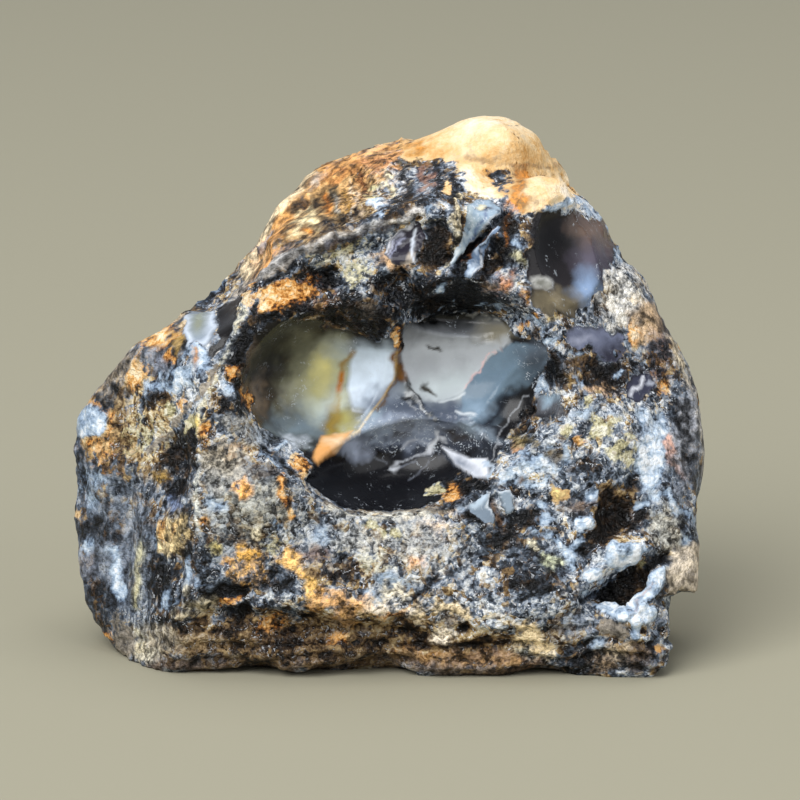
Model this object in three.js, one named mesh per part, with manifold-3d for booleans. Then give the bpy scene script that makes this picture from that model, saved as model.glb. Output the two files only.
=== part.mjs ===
// Rough black opal.
//
// One broken lump of dark common opal that still sits in its host rock: a speckled grey and tan crust with
// a glassy hollow in the front, where a shell-shaped fracture has opened the dark opal inside. It grew and
// broke as one piece, so it is one solid. Units are millimetres.
//
// The stone is described as it is seen face on: x to the right, y away from the eye, z up, with the eye
// looking slightly down on it. Only at the end is it leaned back by that angle and set down on the ground.

import * as THREE from "three";
import { mergeVertices } from "three/addons/utils/BufferGeometryUtils.js";
import Module from "manifold-3d";

// Driving dimensions
const HEIGHT = 56.5; // of the outline, face on
const FRONT_DEPTH = -18; // y of the broad front face
const BACK_DEPTH = 20; // y of the back face
const LOOK_DOWN = THREE.MathUtils.degToRad(12); // the eye's angle above the horizon
const GROUND = 3.9; // height at which the leaned stone is cut by the ground it rests on
const CELL = 1.75; // width of a facet of the finished solid
const CELL_MARGIN = 0.06; // share of a cell's width that its vertex keeps from the cell's walls
const CELL_FIT_ROUNDS = 14; // rounds of moving a cell's vertex onto the surface
const FILL = 0.05; // how deep inside a lattice point lies once it is filled
const GRADIENT_STEP = 0.05; // spacing of the samples that give a surface normal
const BOX_LOW = [-35, -23, -9]; // corners of the space that the facets are looked for in
const BOX_HIGH = [36, 25, 60];

// The outline, face on, clockwise from the left foot. The notch low on the right is a chip off the edge.
const OUTLINE = [
  [-25.0, 0.4],
  [-28.4, 3.4],
  [-30.3, 8.4],
  [-31.3, 13.0],
  [-31.8, 18.0],
  [-31.1, 24.4],
  [-29.6, 28.6],
  [-25.5, 33.4],
  [-18.0, 37.9],
  [-15.1, 40.9],
  [-12.8, 43.9],
  [-9.9, 48.4],
  [-7.2, 51.4],
  [-2.2, 52.9],
  [2.8, 54.3],
  [6.7, 55.4],
  [8.7, 56.3],
  [10.4, HEIGHT],
  [12.4, 56.0],
  [15.1, 54.4],
  [17.2, 51.4],
  [21.8, 45.4],
  [23.2, 42.2],
  [25.1, 40.8],
  [26.6, 37.9],
  [29.1, 33.4],
  [31.2, 28.5],
  [32.2, 22.9],
  [30.8, 16.9],
  [30.5, 8.9],
  [27.6, 7.8],
  [27.2, 6.0],
  [27.6, 3.4],
  [25.2, 0.4],
  [19.2, 0.0],
  [14.5, 1.3],
  [8.7, 1.5],
  [3.2, 0.7],
  [0.4, 1.9],
  [-4.8, 2.4],
  [-9.0, 1.7],
  [-12.0, 2.4],
  [-16.0, 1.0],
  [-22.0, 0.1],
];

// The outline is widest on a girdle that leans back, and draws in before and behind it.
const GIRDLE_AT_FOOT = -12; // y
const GIRDLE_AT_TOP = 5; // y
const GIRDLE_REACH = 16; // distance from the girdle at which the outline has drawn in by GIRDLE_DRAW
const GIRDLE_DRAW = 4.5;
const DRAW_FROM = 13; // height above which it draws in fully; it does so less and less towards the foot

// The ridge that climbs to the right over the hollow of the front.
const RIDGE_LEFT = [-14.3, -15.5, 38.9];
const RIDGE_RIGHT = [5.2, -14.5, 47.6];

// Fracture faces of the tall right-hand mass. Each is a plane at a point of the stone, facing outwards.
const MAIN_FACES = [
  { name: "front slab", at: [0, FRONT_DEPTH, 12], facing: [0.03, -1, 0.06] },
  { name: "front foot", at: [0, -17.5, 6.6], facing: [-0.02, -0.93, -0.36] },
  { name: "left flank", at: [-19, -17, 15], facing: [-0.77, -0.63, 0.04] },
  { name: "upper front", at: RIDGE_LEFT, facing: [-0.06, -0.967, 0.25] },
  { name: "top slope", at: RIDGE_LEFT, facing: [-0.348, -0.404, 0.846] },
  { name: "cap front", at: RIDGE_RIGHT, facing: [0.3, -0.49, 0.82] },
  { name: "upper right", at: [16, -12.5, 42], facing: [0.58, -0.76, 0.28] },
  { name: "right flank", at: [25.5, -15.5, 18], facing: [0.66, -0.75, 0.04] },
  { name: "back", at: [2, BACK_DEPTH, 20], facing: [0.08, 1, 0.1] },
  { name: "back left", at: [-17, 15, 22], facing: [-0.62, 0.76, 0.18] },
  { name: "back right", at: [21, 13, 18], facing: [0.72, 0.69, 0.06] },
  { name: "back crown", at: [4, 8, 54], facing: [-0.04, 0.8, 0.6] },
  { name: "back shoulder", at: [20, 9, 45], facing: [0.56, 0.66, 0.5] },
  { name: "back foot", at: [0, 18, 11], facing: [0.05, 0.84, -0.54] },
];

// Fracture faces of the low lobe on the left, which stands against the main mass.
const LOBE_FACES = [
  { name: "front slab", at: [-18, -17.4, 12], facing: [0.03, -1, 0.06] },
  { name: "front foot", at: [-18, -17.1, 6.6], facing: [-0.02, -0.93, -0.36] },
  { name: "left flank", at: [-19, -17, 15], facing: [-0.77, -0.63, 0.04] },
  { name: "lobe brow", at: [-20, -12.5, 33.5], facing: [-0.36, -0.62, 0.7] },
  { name: "lobe crown", at: [-19, 0, 37.6], facing: [-0.42, 0.1, 0.9] },
  { name: "lobe back", at: [-24, 11, 20], facing: [-0.66, 0.72, 0.2] },
  { name: "lobe foot", at: [-26, 6, 9], facing: [-0.7, 0.4, -0.6] },
  { name: "inner side", at: [-8, 0, 20], facing: [1, 0, 0] },
  { name: "back", at: [-18, 16, 20], facing: [0.08, 1, 0.1] },
];
const LOBE_BLEND = 1.6; // width of the join between the lobe and the main mass

// Worn edges between faces are this round.
const WEAR = 0.9;

// Hollows. Each is a shallow dish cut by an ellipsoid: where its mouth lies, the mouth's half widths, how
// deep it is, how far it is turned in its own plane, and which way the mouth faces.
const DISH_STANDOFF = 0.5; // share of the ellipsoid's reach by which its centre stands out of the stone
const LEFT_FLANK_FACING = [-0.77, -0.63, 0.04];
const UPPER_RIGHT_FACING = [0.58, -0.76, 0.28];
const RIGHT_FLANK_FACING = [0.66, -0.75, 0.04];
const BACK_FACING = [0.08, 1, 0.1];
const HOLLOWS = [
  { name: "window", at: [0.4, -18, 27.8], mouth: [16.2, 9.8], depth: 6.8, turn: -5 },
  { name: "left pocket", at: [-5.8, -17.6, 29.6], mouth: [9.6, 8.0], depth: 8.2, turn: 18 },
  { name: "black bowl", at: [2.2, -18, 22.4], mouth: [10.8, 6.0], depth: 9.2, turn: 10 },
  { name: "grey shelf", at: [7.0, -16.6, 32.0], mouth: [9.0, 6.4], depth: 8.0, facing: [0.05, -0.85, 0.52] },
  { name: "blue facet", at: [11.6, -17.2, 28.2], mouth: [5.8, 6.8], depth: 6.8, turn: -35 },
  { name: "roof over the shelf", at: [7.6, -16.6, 35.8], mouth: [7.6, 3.0], depth: 7.4, turn: -3 },
  { name: "left void", at: [-5.6, -16.6, 40.2], mouth: [4.0, 1.9], depth: 3.0, turn: 20 },
  { name: "right void", at: [1.2, -16.6, 39.0], mouth: [2.8, 2.3], depth: 3.4, turn: -10 },
  { name: "under the ridge", at: [-1.4, -15.4, 42.6], mouth: [7.4, 1.5], depth: 1.7, turn: 23 },
  { name: "prism gap", at: [9.0, -14.2, 43.4], mouth: [3.4, 1.6], depth: 2.2, turn: -62 },
  { name: "smoky face", at: [18.8, -11.6, 41.9], mouth: [5.6, 6.0], depth: 1.3, facing: UPPER_RIGHT_FACING },
  { name: "dark pit", at: [24.2, -16.4, 17.0], mouth: [3.4, 3.0], depth: 2.6, turn: 40 },
  { name: "wedge pit", at: [23.2, -16.8, 9.6], mouth: [4.6, 2.1], depth: 2.4, turn: 34 },
  { name: "middle pit", at: [17.6, -18, 17.4], mouth: [2.6, 1.9], depth: 1.5, turn: -20 },
  { name: "flank scoop", at: [-21.4, -14.4, 22.0], mouth: [2.8, 5.2], depth: 1.6, facing: LEFT_FLANK_FACING },
  { name: "flank groove", at: [-26.4, -8.9, 14.0], mouth: [1.6, 6.4], depth: 1.0, facing: LEFT_FLANK_FACING },
  { name: "outer groove", at: [-16.8, -17.4, 6.4], mouth: [4.6, 1.5], depth: 1.5, turn: -10 },
  { name: "inner groove", at: [-8.6, -17.4, 5.4], mouth: [5.4, 1.7], depth: 1.9, turn: -4 },
  { name: "middle groove", at: [1.0, -17.4, 4.6], mouth: [5.4, 1.5], depth: 1.6, turn: -7 },
  { name: "right groove", at: [10.6, -17.2, 3.6], mouth: [4.6, 1.4], depth: 1.4, turn: 5 },
  { name: "right brow", at: [24.4, -13.2, 34.0], mouth: [3.4, 5.4], depth: 1.4, facing: RIGHT_FLANK_FACING },
  { name: "back shell", at: [5, 19.6, 26], mouth: [11, 8], depth: 2.4, turn: 20, facing: BACK_FACING },
  { name: "back chip", at: [-14, 16.5, 21], mouth: [7, 5], depth: 1.2, turn: -30, facing: [-0.55, 0.8, 0.2] },
];

// Lumps that stand proud, by their centre and half widths.
const LUMPS = [
  { name: "cap knob", at: [10.4, 2.0, 51.4], size: [6.4, 8.6, 5.2] },
  { name: "cap lip", at: [13.4, -8.4, 47.0], size: [5.0, 3.8, 2.4] },
  { name: "ridge roll", at: [-4.8, -14.0, 43.2], size: [10.2, 2.0, 1.5], turn: 24 },
  { name: "brow over the foot", at: [-9.0, -17.2, 8.0], size: [10.0, 1.7, 1.6], turn: -4 },
  { name: "bulge beside the bowl", at: [-11.5, -16.6, 17.6], size: [4.4, 2.6, 3.8] },
  { name: "swell over the foot", at: [13.0, -16.8, 8.6], size: [6.2, 2.4, 3.6] },
  { name: "foot lip", at: [9.0, -14.6, 2.4], size: [10.0, 2.0, 1.2], turn: 2 },
  { name: "underside", at: [-1, 3, 2], size: [27, 16, 6] },
  { name: "notch tooth", at: [28.6, -3.0, 10.8], size: [1.9, 4.0, 1.9] },
];

// Small shell-shaped chips off the flanks and the back, spread by the golden angle.
const CHIP_COUNT = 40;
const CHIP_MOUTH = [2.8, 6.4]; // half width, least and most
const CHIP_DEPTH = 0.13; // as a share of the half width
const CHIP_FRONT_LIMIT = 0.2; // chips start behind this facing, so that the front keeps its own hollows
const CHIP_FLOOR = 9; // and lie above this height

// Roughness of the crust: height and wavelength of each layer of lumps.
const ROUGHNESS = [
  { height: 0.95, wave: 8.5 },
  { height: 0.55, wave: 3.9 },
];
const HOLLOW_ROUGHNESS = 0.12; // share of it that the hollows keep

const CRUST = new THREE.MeshStandardMaterial({ color: "#6b6459", roughness: 0.72, metalness: 0 });

/** A repeatable random number from 0 to 1 for a point of a lattice. */
function lattice(i, j, k) {
  let h = Math.imul(i, 374761393) ^ Math.imul(j, 668265263) ^ Math.imul(k, 1274126177);
  h = Math.imul(h ^ (h >>> 13), 1103515245);
  return ((h ^ (h >>> 16)) >>> 0) / 4294967296;
}

/** Smooth noise from -1 to 1. */
function noise(x, y, z) {
  const [i, j, k] = [Math.floor(x), Math.floor(y), Math.floor(z)];
  const ease = (t) => t * t * (3 - 2 * t);
  const [u, v, w] = [ease(x - i), ease(y - j), ease(z - k)];
  const mix = THREE.MathUtils.lerp;
  const row = (dj, dk) => mix(lattice(i, j + dj, k + dk), lattice(i + 1, j + dj, k + dk), u);
  return 2 * mix(mix(row(0, 0), row(1, 0), v), mix(row(0, 1), row(1, 1), v), w) - 1;
}

/** The greater of two distances, with the edge where they meet rounded by width. */
function roundedMax(a, b, width) {
  const h = Math.max(width - Math.abs(a - b), 0) / width;
  return Math.max(a, b) + h * h * width * 0.25;
}

/** The lesser of two distances, with the join where they meet filled by width. */
function blendedMin(a, b, width) {
  return -roundedMax(-a, -b, width);
}

/** Distance in the plane from the face-on outline, negative inside. */
function outlineDistance(x, z) {
  let nearest = Infinity;
  let inside = false;
  for (let i = 0, j = OUTLINE.length - 1; i < OUTLINE.length; j = i++) {
    const [ax, az] = OUTLINE[i];
    const [bx, bz] = OUTLINE[j];
    const [ex, ez] = [bx - ax, bz - az];
    const along = THREE.MathUtils.clamp(((x - ax) * ex + (z - az) * ez) / (ex * ex + ez * ez), 0, 1);
    nearest = Math.min(nearest, Math.hypot(x - ax - along * ex, z - az - along * ez));
    if (az > z !== bz > z && x < (ex * (z - az)) / ez + ax) inside = !inside;
  }
  return inside ? -nearest : nearest;
}

/** Distance from the outline's wall, which draws in before and behind the girdle. */
function wallDistance(x, y, z) {
  const girdle = THREE.MathUtils.lerp(GIRDLE_AT_FOOT, GIRDLE_AT_TOP, z / HEIGHT);
  const off = (y - girdle) / GIRDLE_REACH;
  return outlineDistance(x, z) + GIRDLE_DRAW * off * off * THREE.MathUtils.smoothstep(z, 0, DRAW_FROM);
}

/** Readies a face: its outward normal and the plane's offset. */
function plane({ at, facing }) {
  const normal = new THREE.Vector3(...facing).normalize();
  return { normal, offset: normal.dot(new THREE.Vector3(...at)) };
}

/** Distance from a mass bounded by planes, with worn edges. */
function massDistance(p, planes) {
  let d = -Infinity;
  for (const { normal, offset } of planes) {
    const face = normal.dot(p) - offset;
    d = d === -Infinity ? face : roundedMax(d, face, WEAR);
  }
  return d;
}

/** Readies an ellipsoid: its centre, half widths and the turn into its own axes. */
function ellipsoid(centre, radii, axes) {
  return { centre, radii, intoAxes: axes.clone().transpose() };
}

/** Axes whose second column faces the given way, turned anticlockwise as seen from there. */
function axesFacing(facing, turn = 0) {
  const out = new THREE.Vector3(...facing).normalize();
  const right = new THREE.Vector3(-out.y, out.x, 0).normalize();
  const up = new THREE.Vector3().crossVectors(right, out).multiplyScalar(-1);
  const spin = new THREE.Matrix4().makeRotationAxis(out, THREE.MathUtils.degToRad(turn));
  right.applyMatrix4(spin);
  up.applyMatrix4(spin);
  return new THREE.Matrix3().set(right.x, out.x, up.x, right.y, out.y, up.y, right.z, out.z, up.z);
}

/** Readies a hollow: the ellipsoid that leaves a dish of that mouth and depth. */
function hollow({ at, mouth, depth, turn = 0, facing = [0, -1, 0] }) {
  const out = new THREE.Vector3(...facing).normalize();
  const reach = depth / (1 - DISH_STANDOFF);
  const centre = new THREE.Vector3(...at).addScaledVector(out, reach - depth);
  const mouthShare = Math.sqrt(1 - DISH_STANDOFF ** 2);
  const radii = new THREE.Vector3(mouth[0] / mouthShare, reach, mouth[1] / mouthShare);
  return ellipsoid(centre, radii, axesFacing(facing, turn));
}

/** Readies a lump. */
function lump({ at, size, turn = 0 }) {
  return ellipsoid(new THREE.Vector3(...at), new THREE.Vector3(...size), axesFacing([0, -1, 0], turn));
}

/** Distance from an ellipsoid, near enough for joining and cutting. */
function ellipsoidDistance(p, { centre, radii, intoAxes }) {
  const local = p.clone().sub(centre).applyMatrix3(intoAxes);
  const unit = local.clone().divide(radii);
  const slope = unit.clone().divide(radii).length();
  return slope < 1e-9 ? -radii.y : (unit.length() * (unit.length() - 1)) / slope;
}

const mainPlanes = MAIN_FACES.map(plane);
const lobePlanes = LOBE_FACES.map(plane);
const lumps = LUMPS.map(lump);
const hollows = HOLLOWS.map(hollow);
const chips = [];

/** Height of the crust's roughness at a point. */
function roughness(p) {
  let sum = 0;
  for (const { height, wave } of ROUGHNESS) sum += height * noise(p.x / wave, p.y / wave, p.z / wave);
  return sum;
}

/** Distance from the whole stone before the ground cuts it, negative inside. */
function stoneDistance(p) {
  const lobe = massDistance(p, lobePlanes);
  let d = blendedMin(massDistance(p, mainPlanes), lobe, LOBE_BLEND);
  d = roundedMax(d, wallDistance(p.x, p.y, p.z), WEAR);
  for (const one of lumps) d = blendedMin(d, ellipsoidDistance(p, one), WEAR);
  const rough = roughness(p);
  d += rough;
  for (const one of chips) d = roundedMax(d, -ellipsoidDistance(p, one), WEAR / 2);
  for (const one of hollows) d = Math.max(d, rough * HOLLOW_ROUGHNESS - ellipsoidDistance(p, one));
  return d;
}

/** Outward normal of the stone's surface at a point. */
function normalAt(p) {
  const slope = (axis) => {
    const ahead = p.clone();
    const behind = p.clone();
    ahead[axis] += GRADIENT_STEP;
    behind[axis] -= GRADIENT_STEP;
    return stoneDistance(ahead) - stoneDistance(behind);
  };
  return new THREE.Vector3(slope("x"), slope("y"), slope("z")).normalize();
}

/** The point where a ray from outside first meets the stone, coming towards its middle. */
function surfaceTowards(direction) {
  const middle = new THREE.Vector3(0, 0, HEIGHT * 0.42);
  const at = (reach) => middle.clone().addScaledVector(direction, reach);
  let reach = HEIGHT;
  while (stoneDistance(at(reach)) > GRADIENT_STEP) reach -= GRADIENT_STEP;
  return at(reach);
}

/** Adds the small chips, each square to the surface where it lies. */
function addChips() {
  const goldenAngle = Math.PI * (3 - Math.sqrt(5));
  const found = [];
  for (let i = 0; i < CHIP_COUNT; i++) {
    const height = 1 - (2 * (i + 0.5)) / CHIP_COUNT;
    const ring = Math.sqrt(1 - height * height);
    const around = i * goldenAngle;
    const direction = new THREE.Vector3(ring * Math.cos(around), ring * Math.sin(around), height);
    if (direction.y < CHIP_FRONT_LIMIT) continue;
    const at = surfaceTowards(direction);
    if (at.z < CHIP_FLOOR) continue;
    const half = THREE.MathUtils.lerp(...CHIP_MOUTH, lattice(i, 7, 3));
    const mouth = [half, half * (0.6 + 0.4 * lattice(i, 2, 5))];
    const [depth, turn] = [half * CHIP_DEPTH, 180 * lattice(i, 1, 9)];
    found.push(hollow({ at: at.toArray(), mouth, depth, turn, facing: normalAt(at).toArray() }));
  }
  chips.push(...found);
}

/** Corners of a cell, and the pairs of corners that its twelve edges join. */
const CORNERS = [0, 1, 2, 3, 4, 5, 6, 7].map((n) => [n & 1, (n >> 1) & 1, (n >> 2) & 1]);
const EDGES = [];
for (let a = 0; a < 8; a++) {
  for (const bit of [1, 2, 4]) if (!(a & bit)) EDGES.push([a, a | bit]);
}

/** A cell's six faces and the cell itself, as lists of corners. */
const CELL_PARTS = [
  [0, 1, 2, 3],
  [4, 5, 6, 7],
  [0, 1, 4, 5],
  [2, 3, 6, 7],
  [0, 2, 4, 6],
  [1, 3, 5, 7],
  [0, 1, 2, 3, 4, 5, 6, 7],
];

/** Whether the corners on one side of the surface hang together along the edges between them. */
function hangTogether(corners, values, inside) {
  const members = corners.filter((n) => values[n] < 0 === inside);
  const reached = new Set(members.slice(0, 1));
  for (const n of reached) {
    for (const bit of [1, 2, 4]) if (members.includes(n ^ bit)) reached.add(n ^ bit);
  }
  return reached.size === members.length;
}

/** The outer corner to fill so that the surface comes to pass a cell as one sheet, or -1 if it does. */
function cornerToFill(values) {
  for (const corners of CELL_PARTS) {
    if ([true, false].every((inside) => hangTogether(corners, values, inside))) continue;
    const outer = corners.filter((n) => values[n] >= 0);
    return outer.reduce((least, n) => (values[n] < values[least] ? n : least));
  }
  return -1;
}

/** Places a cell's vertex where the planes of the surface through the cell meet, so that edges stay crisp. */
function cellVertex(corners, values) {
  const crossings = [];
  for (const [a, b] of EDGES) {
    if (values[a] < 0 === values[b] < 0) continue;
    const point = corners[a].clone().lerp(corners[b], values[a] / (values[a] - values[b]));
    crossings.push({ point, normal: normalAt(point) });
  }
  const vertex = new THREE.Vector3();
  for (const { point } of crossings) vertex.addScaledVector(point, 1 / crossings.length);
  for (let round = 0; round < CELL_FIT_ROUNDS; round++) {
    const pull = new THREE.Vector3();
    for (const { point, normal } of crossings) {
      pull.addScaledVector(normal, normal.dot(point.clone().sub(vertex)) / crossings.length);
    }
    vertex.add(pull);
  }
  const margin = CELL * CELL_MARGIN;
  return vertex.clamp(corners[0].clone().addScalar(margin), corners[7].clone().addScalar(-margin));
}

/** Covers the stone with facets one cell wide: a vertex in each cell that the surface crosses, and a square
 *  of two facets around each lattice edge that it cuts. */
function skin() {
  const low = new THREE.Vector3(...BOX_LOW);
  const count = new THREE.Vector3(...BOX_HIGH).sub(low).divideScalar(CELL).ceil().toArray();
  const [nx, ny, nz] = count.map((n) => n + 1);
  const index = (i, j, k) => i + nx * (j + ny * k);
  const pointAt = (i, j, k) => new THREE.Vector3(i, j, k).multiplyScalar(CELL).add(low);
  const field = new Float64Array(nx * ny * nz);
  for (let k = 0; k < nz; k++)
    for (let j = 0; j < ny; j++)
      for (let i = 0; i < nx; i++) field[index(i, j, k)] = stoneDistance(pointAt(i, j, k));
  const valuesAt = (i, j, k) => CORNERS.map(([a, b, c]) => field[index(i + a, j + b, k + c)]);

  for (let filled = true; filled; ) {
    filled = false;
    for (let k = 0; k < nz - 1; k++)
      for (let j = 0; j < ny - 1; j++)
        for (let i = 0; i < nx - 1; i++) {
          const corner = cornerToFill(valuesAt(i, j, k));
          if (corner < 0) continue;
          const [a, b, c] = CORNERS[corner];
          field[index(i + a, j + b, k + c)] = -FILL;
          filled = true;
        }
  }

  const positions = [];
  const vertexOf = new Map();
  for (let k = 0; k < nz - 1; k++)
    for (let j = 0; j < ny - 1; j++)
      for (let i = 0; i < nx - 1; i++) {
        const values = valuesAt(i, j, k);
        if (values.every((v) => v < 0) || values.every((v) => v >= 0)) continue;
        const corners = CORNERS.map(([a, b, c]) => pointAt(i + a, j + b, k + c));
        vertexOf.set(index(i, j, k), positions.length / 3);
        positions.push(...cellVertex(corners, values).toArray());
      }

  const at = (v) => new THREE.Vector3().fromArray(positions, 3 * v);
  const faces = [];
  const addSquare = (square, flip) => {
    const [a, b, c, d] = flip ? square.slice().reverse() : square;
    if (at(a).distanceTo(at(c)) < at(b).distanceTo(at(d))) faces.push(a, b, c, a, c, d);
    else faces.push(a, b, d, b, c, d);
  };
  const steps = [
    [1, 0, 0],
    [0, 1, 0],
    [0, 0, 1],
  ];
  for (let k = 1; k < nz - 1; k++)
    for (let j = 1; j < ny - 1; j++)
      for (let i = 1; i < nx - 1; i++)
        steps.forEach((step, axis) => {
          const here = field[index(i, j, k)] < 0;
          if (here === field[index(i + step[0], j + step[1], k + step[2])] < 0) return;
          const u = steps[(axis + 1) % 3];
          const v = steps[(axis + 2) % 3];
          const around = [[0, 0], [1, 0], [1, 1], [0, 1]];
          const square = around.map(([a, b]) =>
            vertexOf.get(index(i - a * u[0] - b * v[0], j - a * u[1] - b * v[1], k - a * u[2] - b * v[2])),
          );
          addSquare(square, !here);
        });
  return new THREE.BufferGeometry()
    .setAttribute("position", new THREE.Float32BufferAttribute(positions, 3))
    .setIndex(faces);
}

/** A three.js geometry as a solid that can be cut. */
function solidOf(wasm, geometry) {
  const bare = geometry.clone();
  bare.deleteAttribute("normal");
  bare.deleteAttribute("uv");
  const merged = mergeVertices(bare);
  const mesh = new wasm.Mesh({
    numProp: 3,
    vertProperties: merged.attributes.position.array,
    triVerts: new Uint32Array(merged.index.array),
  });
  return new wasm.Manifold(mesh);
}

/** A solid as a three.js geometry. */
function geometryOf(solid) {
  const { vertProperties, triVerts } = solid.getMesh();
  return new THREE.BufferGeometry()
    .setAttribute("position", new THREE.Float32BufferAttribute(vertProperties, 3))
    .setIndex(Array.from(triVerts));
}

/** Moves each vertex that lies close to the ground clear of it, so that the cut leaves no sliver. */
function clearOfGround(geometry) {
  const { position } = geometry.attributes;
  const least = CELL * CELL_MARGIN;
  for (let i = 0; i < position.count; i++) {
    const gap = position.getZ(i) - GROUND;
    if (Math.abs(gap) < least) position.setZ(i, GROUND + (gap < 0 ? -least : least));
  }
  return geometry;
}

/** The stone, leaned back from the face-on view, cut flat where it rests and centred over its base. */
function restingStone(wasm) {
  addChips();
  const leaned = clearOfGround(skin().applyMatrix4(new THREE.Matrix4().makeRotationX(-LOOK_DOWN)));
  const below = new THREE.BoxGeometry(2 * HEIGHT, 2 * HEIGHT, HEIGHT).translate(0, 0, GROUND - HEIGHT / 2);
  const geometry = geometryOf(solidOf(wasm, leaned).subtract(solidOf(wasm, below)));
  geometry.computeBoundingBox();
  const middle = geometry.boundingBox.getCenter(new THREE.Vector3());
  geometry.translate(-middle.x, -middle.y, -GROUND);
  geometry.computeVertexNormals();
  return geometry;
}

const wasm = await Module();
wasm.setup();

const stone = new THREE.Mesh(restingStone(wasm), CRUST);
stone.name = "opal_stone";

const group = new THREE.Group();
group.add(stone);

export default group;
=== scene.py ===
"""Rough black opal, dressed.

One broken lump of dark common opal in its host rock. The faceted solid is copied, made fine, given its grain,
pits and glassy fracture surfaces, and painted with what grew in it: opal of several tints, milky veins, iron
stains, a chalky rind. Lengths inside the classes are millimetres and the stone is worked face on, as it is
looked at: x to the right, y away from the eye, z up. Everything handed to Blender is in metres.
"""

import logging
import math
from collections.abc import Callable
from dataclasses import dataclass, field
from enum import Enum
from operator import attrgetter

import bpy
import numpy as np
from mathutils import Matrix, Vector, noise


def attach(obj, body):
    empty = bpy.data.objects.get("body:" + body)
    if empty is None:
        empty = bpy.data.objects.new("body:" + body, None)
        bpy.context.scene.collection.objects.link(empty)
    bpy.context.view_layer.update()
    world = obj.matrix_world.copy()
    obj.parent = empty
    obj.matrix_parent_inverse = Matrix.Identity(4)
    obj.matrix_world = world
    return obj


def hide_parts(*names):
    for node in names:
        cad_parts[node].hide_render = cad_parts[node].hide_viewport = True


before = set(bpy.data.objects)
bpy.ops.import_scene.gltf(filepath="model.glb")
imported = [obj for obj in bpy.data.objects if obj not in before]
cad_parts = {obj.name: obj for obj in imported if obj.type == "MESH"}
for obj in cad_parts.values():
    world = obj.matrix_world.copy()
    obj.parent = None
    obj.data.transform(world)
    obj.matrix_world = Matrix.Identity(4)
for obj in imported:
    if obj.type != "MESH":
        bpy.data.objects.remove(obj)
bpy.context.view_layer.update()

MM = 0.001  # metres in a millimetre
NODE = "opal_stone"
BODY = "root"
SLOT = "opal_in_matrix"
STANDOFF = 0.5  # share of a hollow's reach by which its ellipsoid's centre stands out of the stone
TINY = 1e-9  # stands in for nothing where something is divided by it

log = logging.getLogger("rough_black_opal")

Place = tuple[float, float]
Point = tuple[float, float, float]
Array = np.ndarray
Socket = bpy.types.NodeSocket
Object = bpy.types.Object


def linear(colour: str) -> tuple[float, float, float, float]:
    """Turns an sRGB hex colour into a linear one.

    Args:
        colour: the colour as "#rrggbb".

    Returns:
        Red, green, blue and alpha for a shader or an attribute.
    """
    parts = [int(colour[i : i + 2], 16) / 255 for i in (1, 3, 5)]
    return (*[c / 12.92 if c <= 0.04045 else ((c + 0.055) / 1.055) ** 2.4 for c in parts], 1.0)


def fractal(points: Array, wave: float, octaves: int = 3, shift: float = 0.0) -> Array:
    """Smooth noise at some points, about -1 to 1.

    Args:
        points: places in millimetres, one row each.
        wave: length of the longest wave in millimetres.
        octaves: number of layers, each half as long as the one before.
        shift: moves the pattern, so that two of one wave differ.

    Returns:
        One value for each point.
    """
    return np.array([noise.fractal(Vector(p), 1.0, 2.0, octaves) for p in points / wave + shift])


def nearest_grain(points: Array, size: float, shift: float = 0.0) -> Array:
    """Distance to the middle of the nearest grain, in grain sizes.

    Args:
        points: places in millimetres, one row each.
        size: distance from grain to grain in millimetres.
        shift: moves the pattern.

    Returns:
        One value for each point, 0 in the middle of a grain.
    """
    return np.array([noise.voronoi(Vector(p))[0][0] for p in points / size + shift])


def smoothstep(low: float, high: float, value: Array) -> Array:
    """Rises smoothly from 0 at low to 1 at high."""
    share = np.clip((value - low) / (high - low), 0, 1)
    return share * share * (3 - 2 * share)


def gather(items: bpy.types.bpy_prop_collection, key: str) -> Array:
    """Reads three numbers of each of a mesh's parts.

    Args:
        items: the vertices or the faces.
        key: what to read, such as "co" or "normal".

    Returns:
        One row for each part.
    """
    values = np.empty(len(items) * 3)
    items.foreach_get(key, values)
    return values.reshape(-1, 3)


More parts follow.
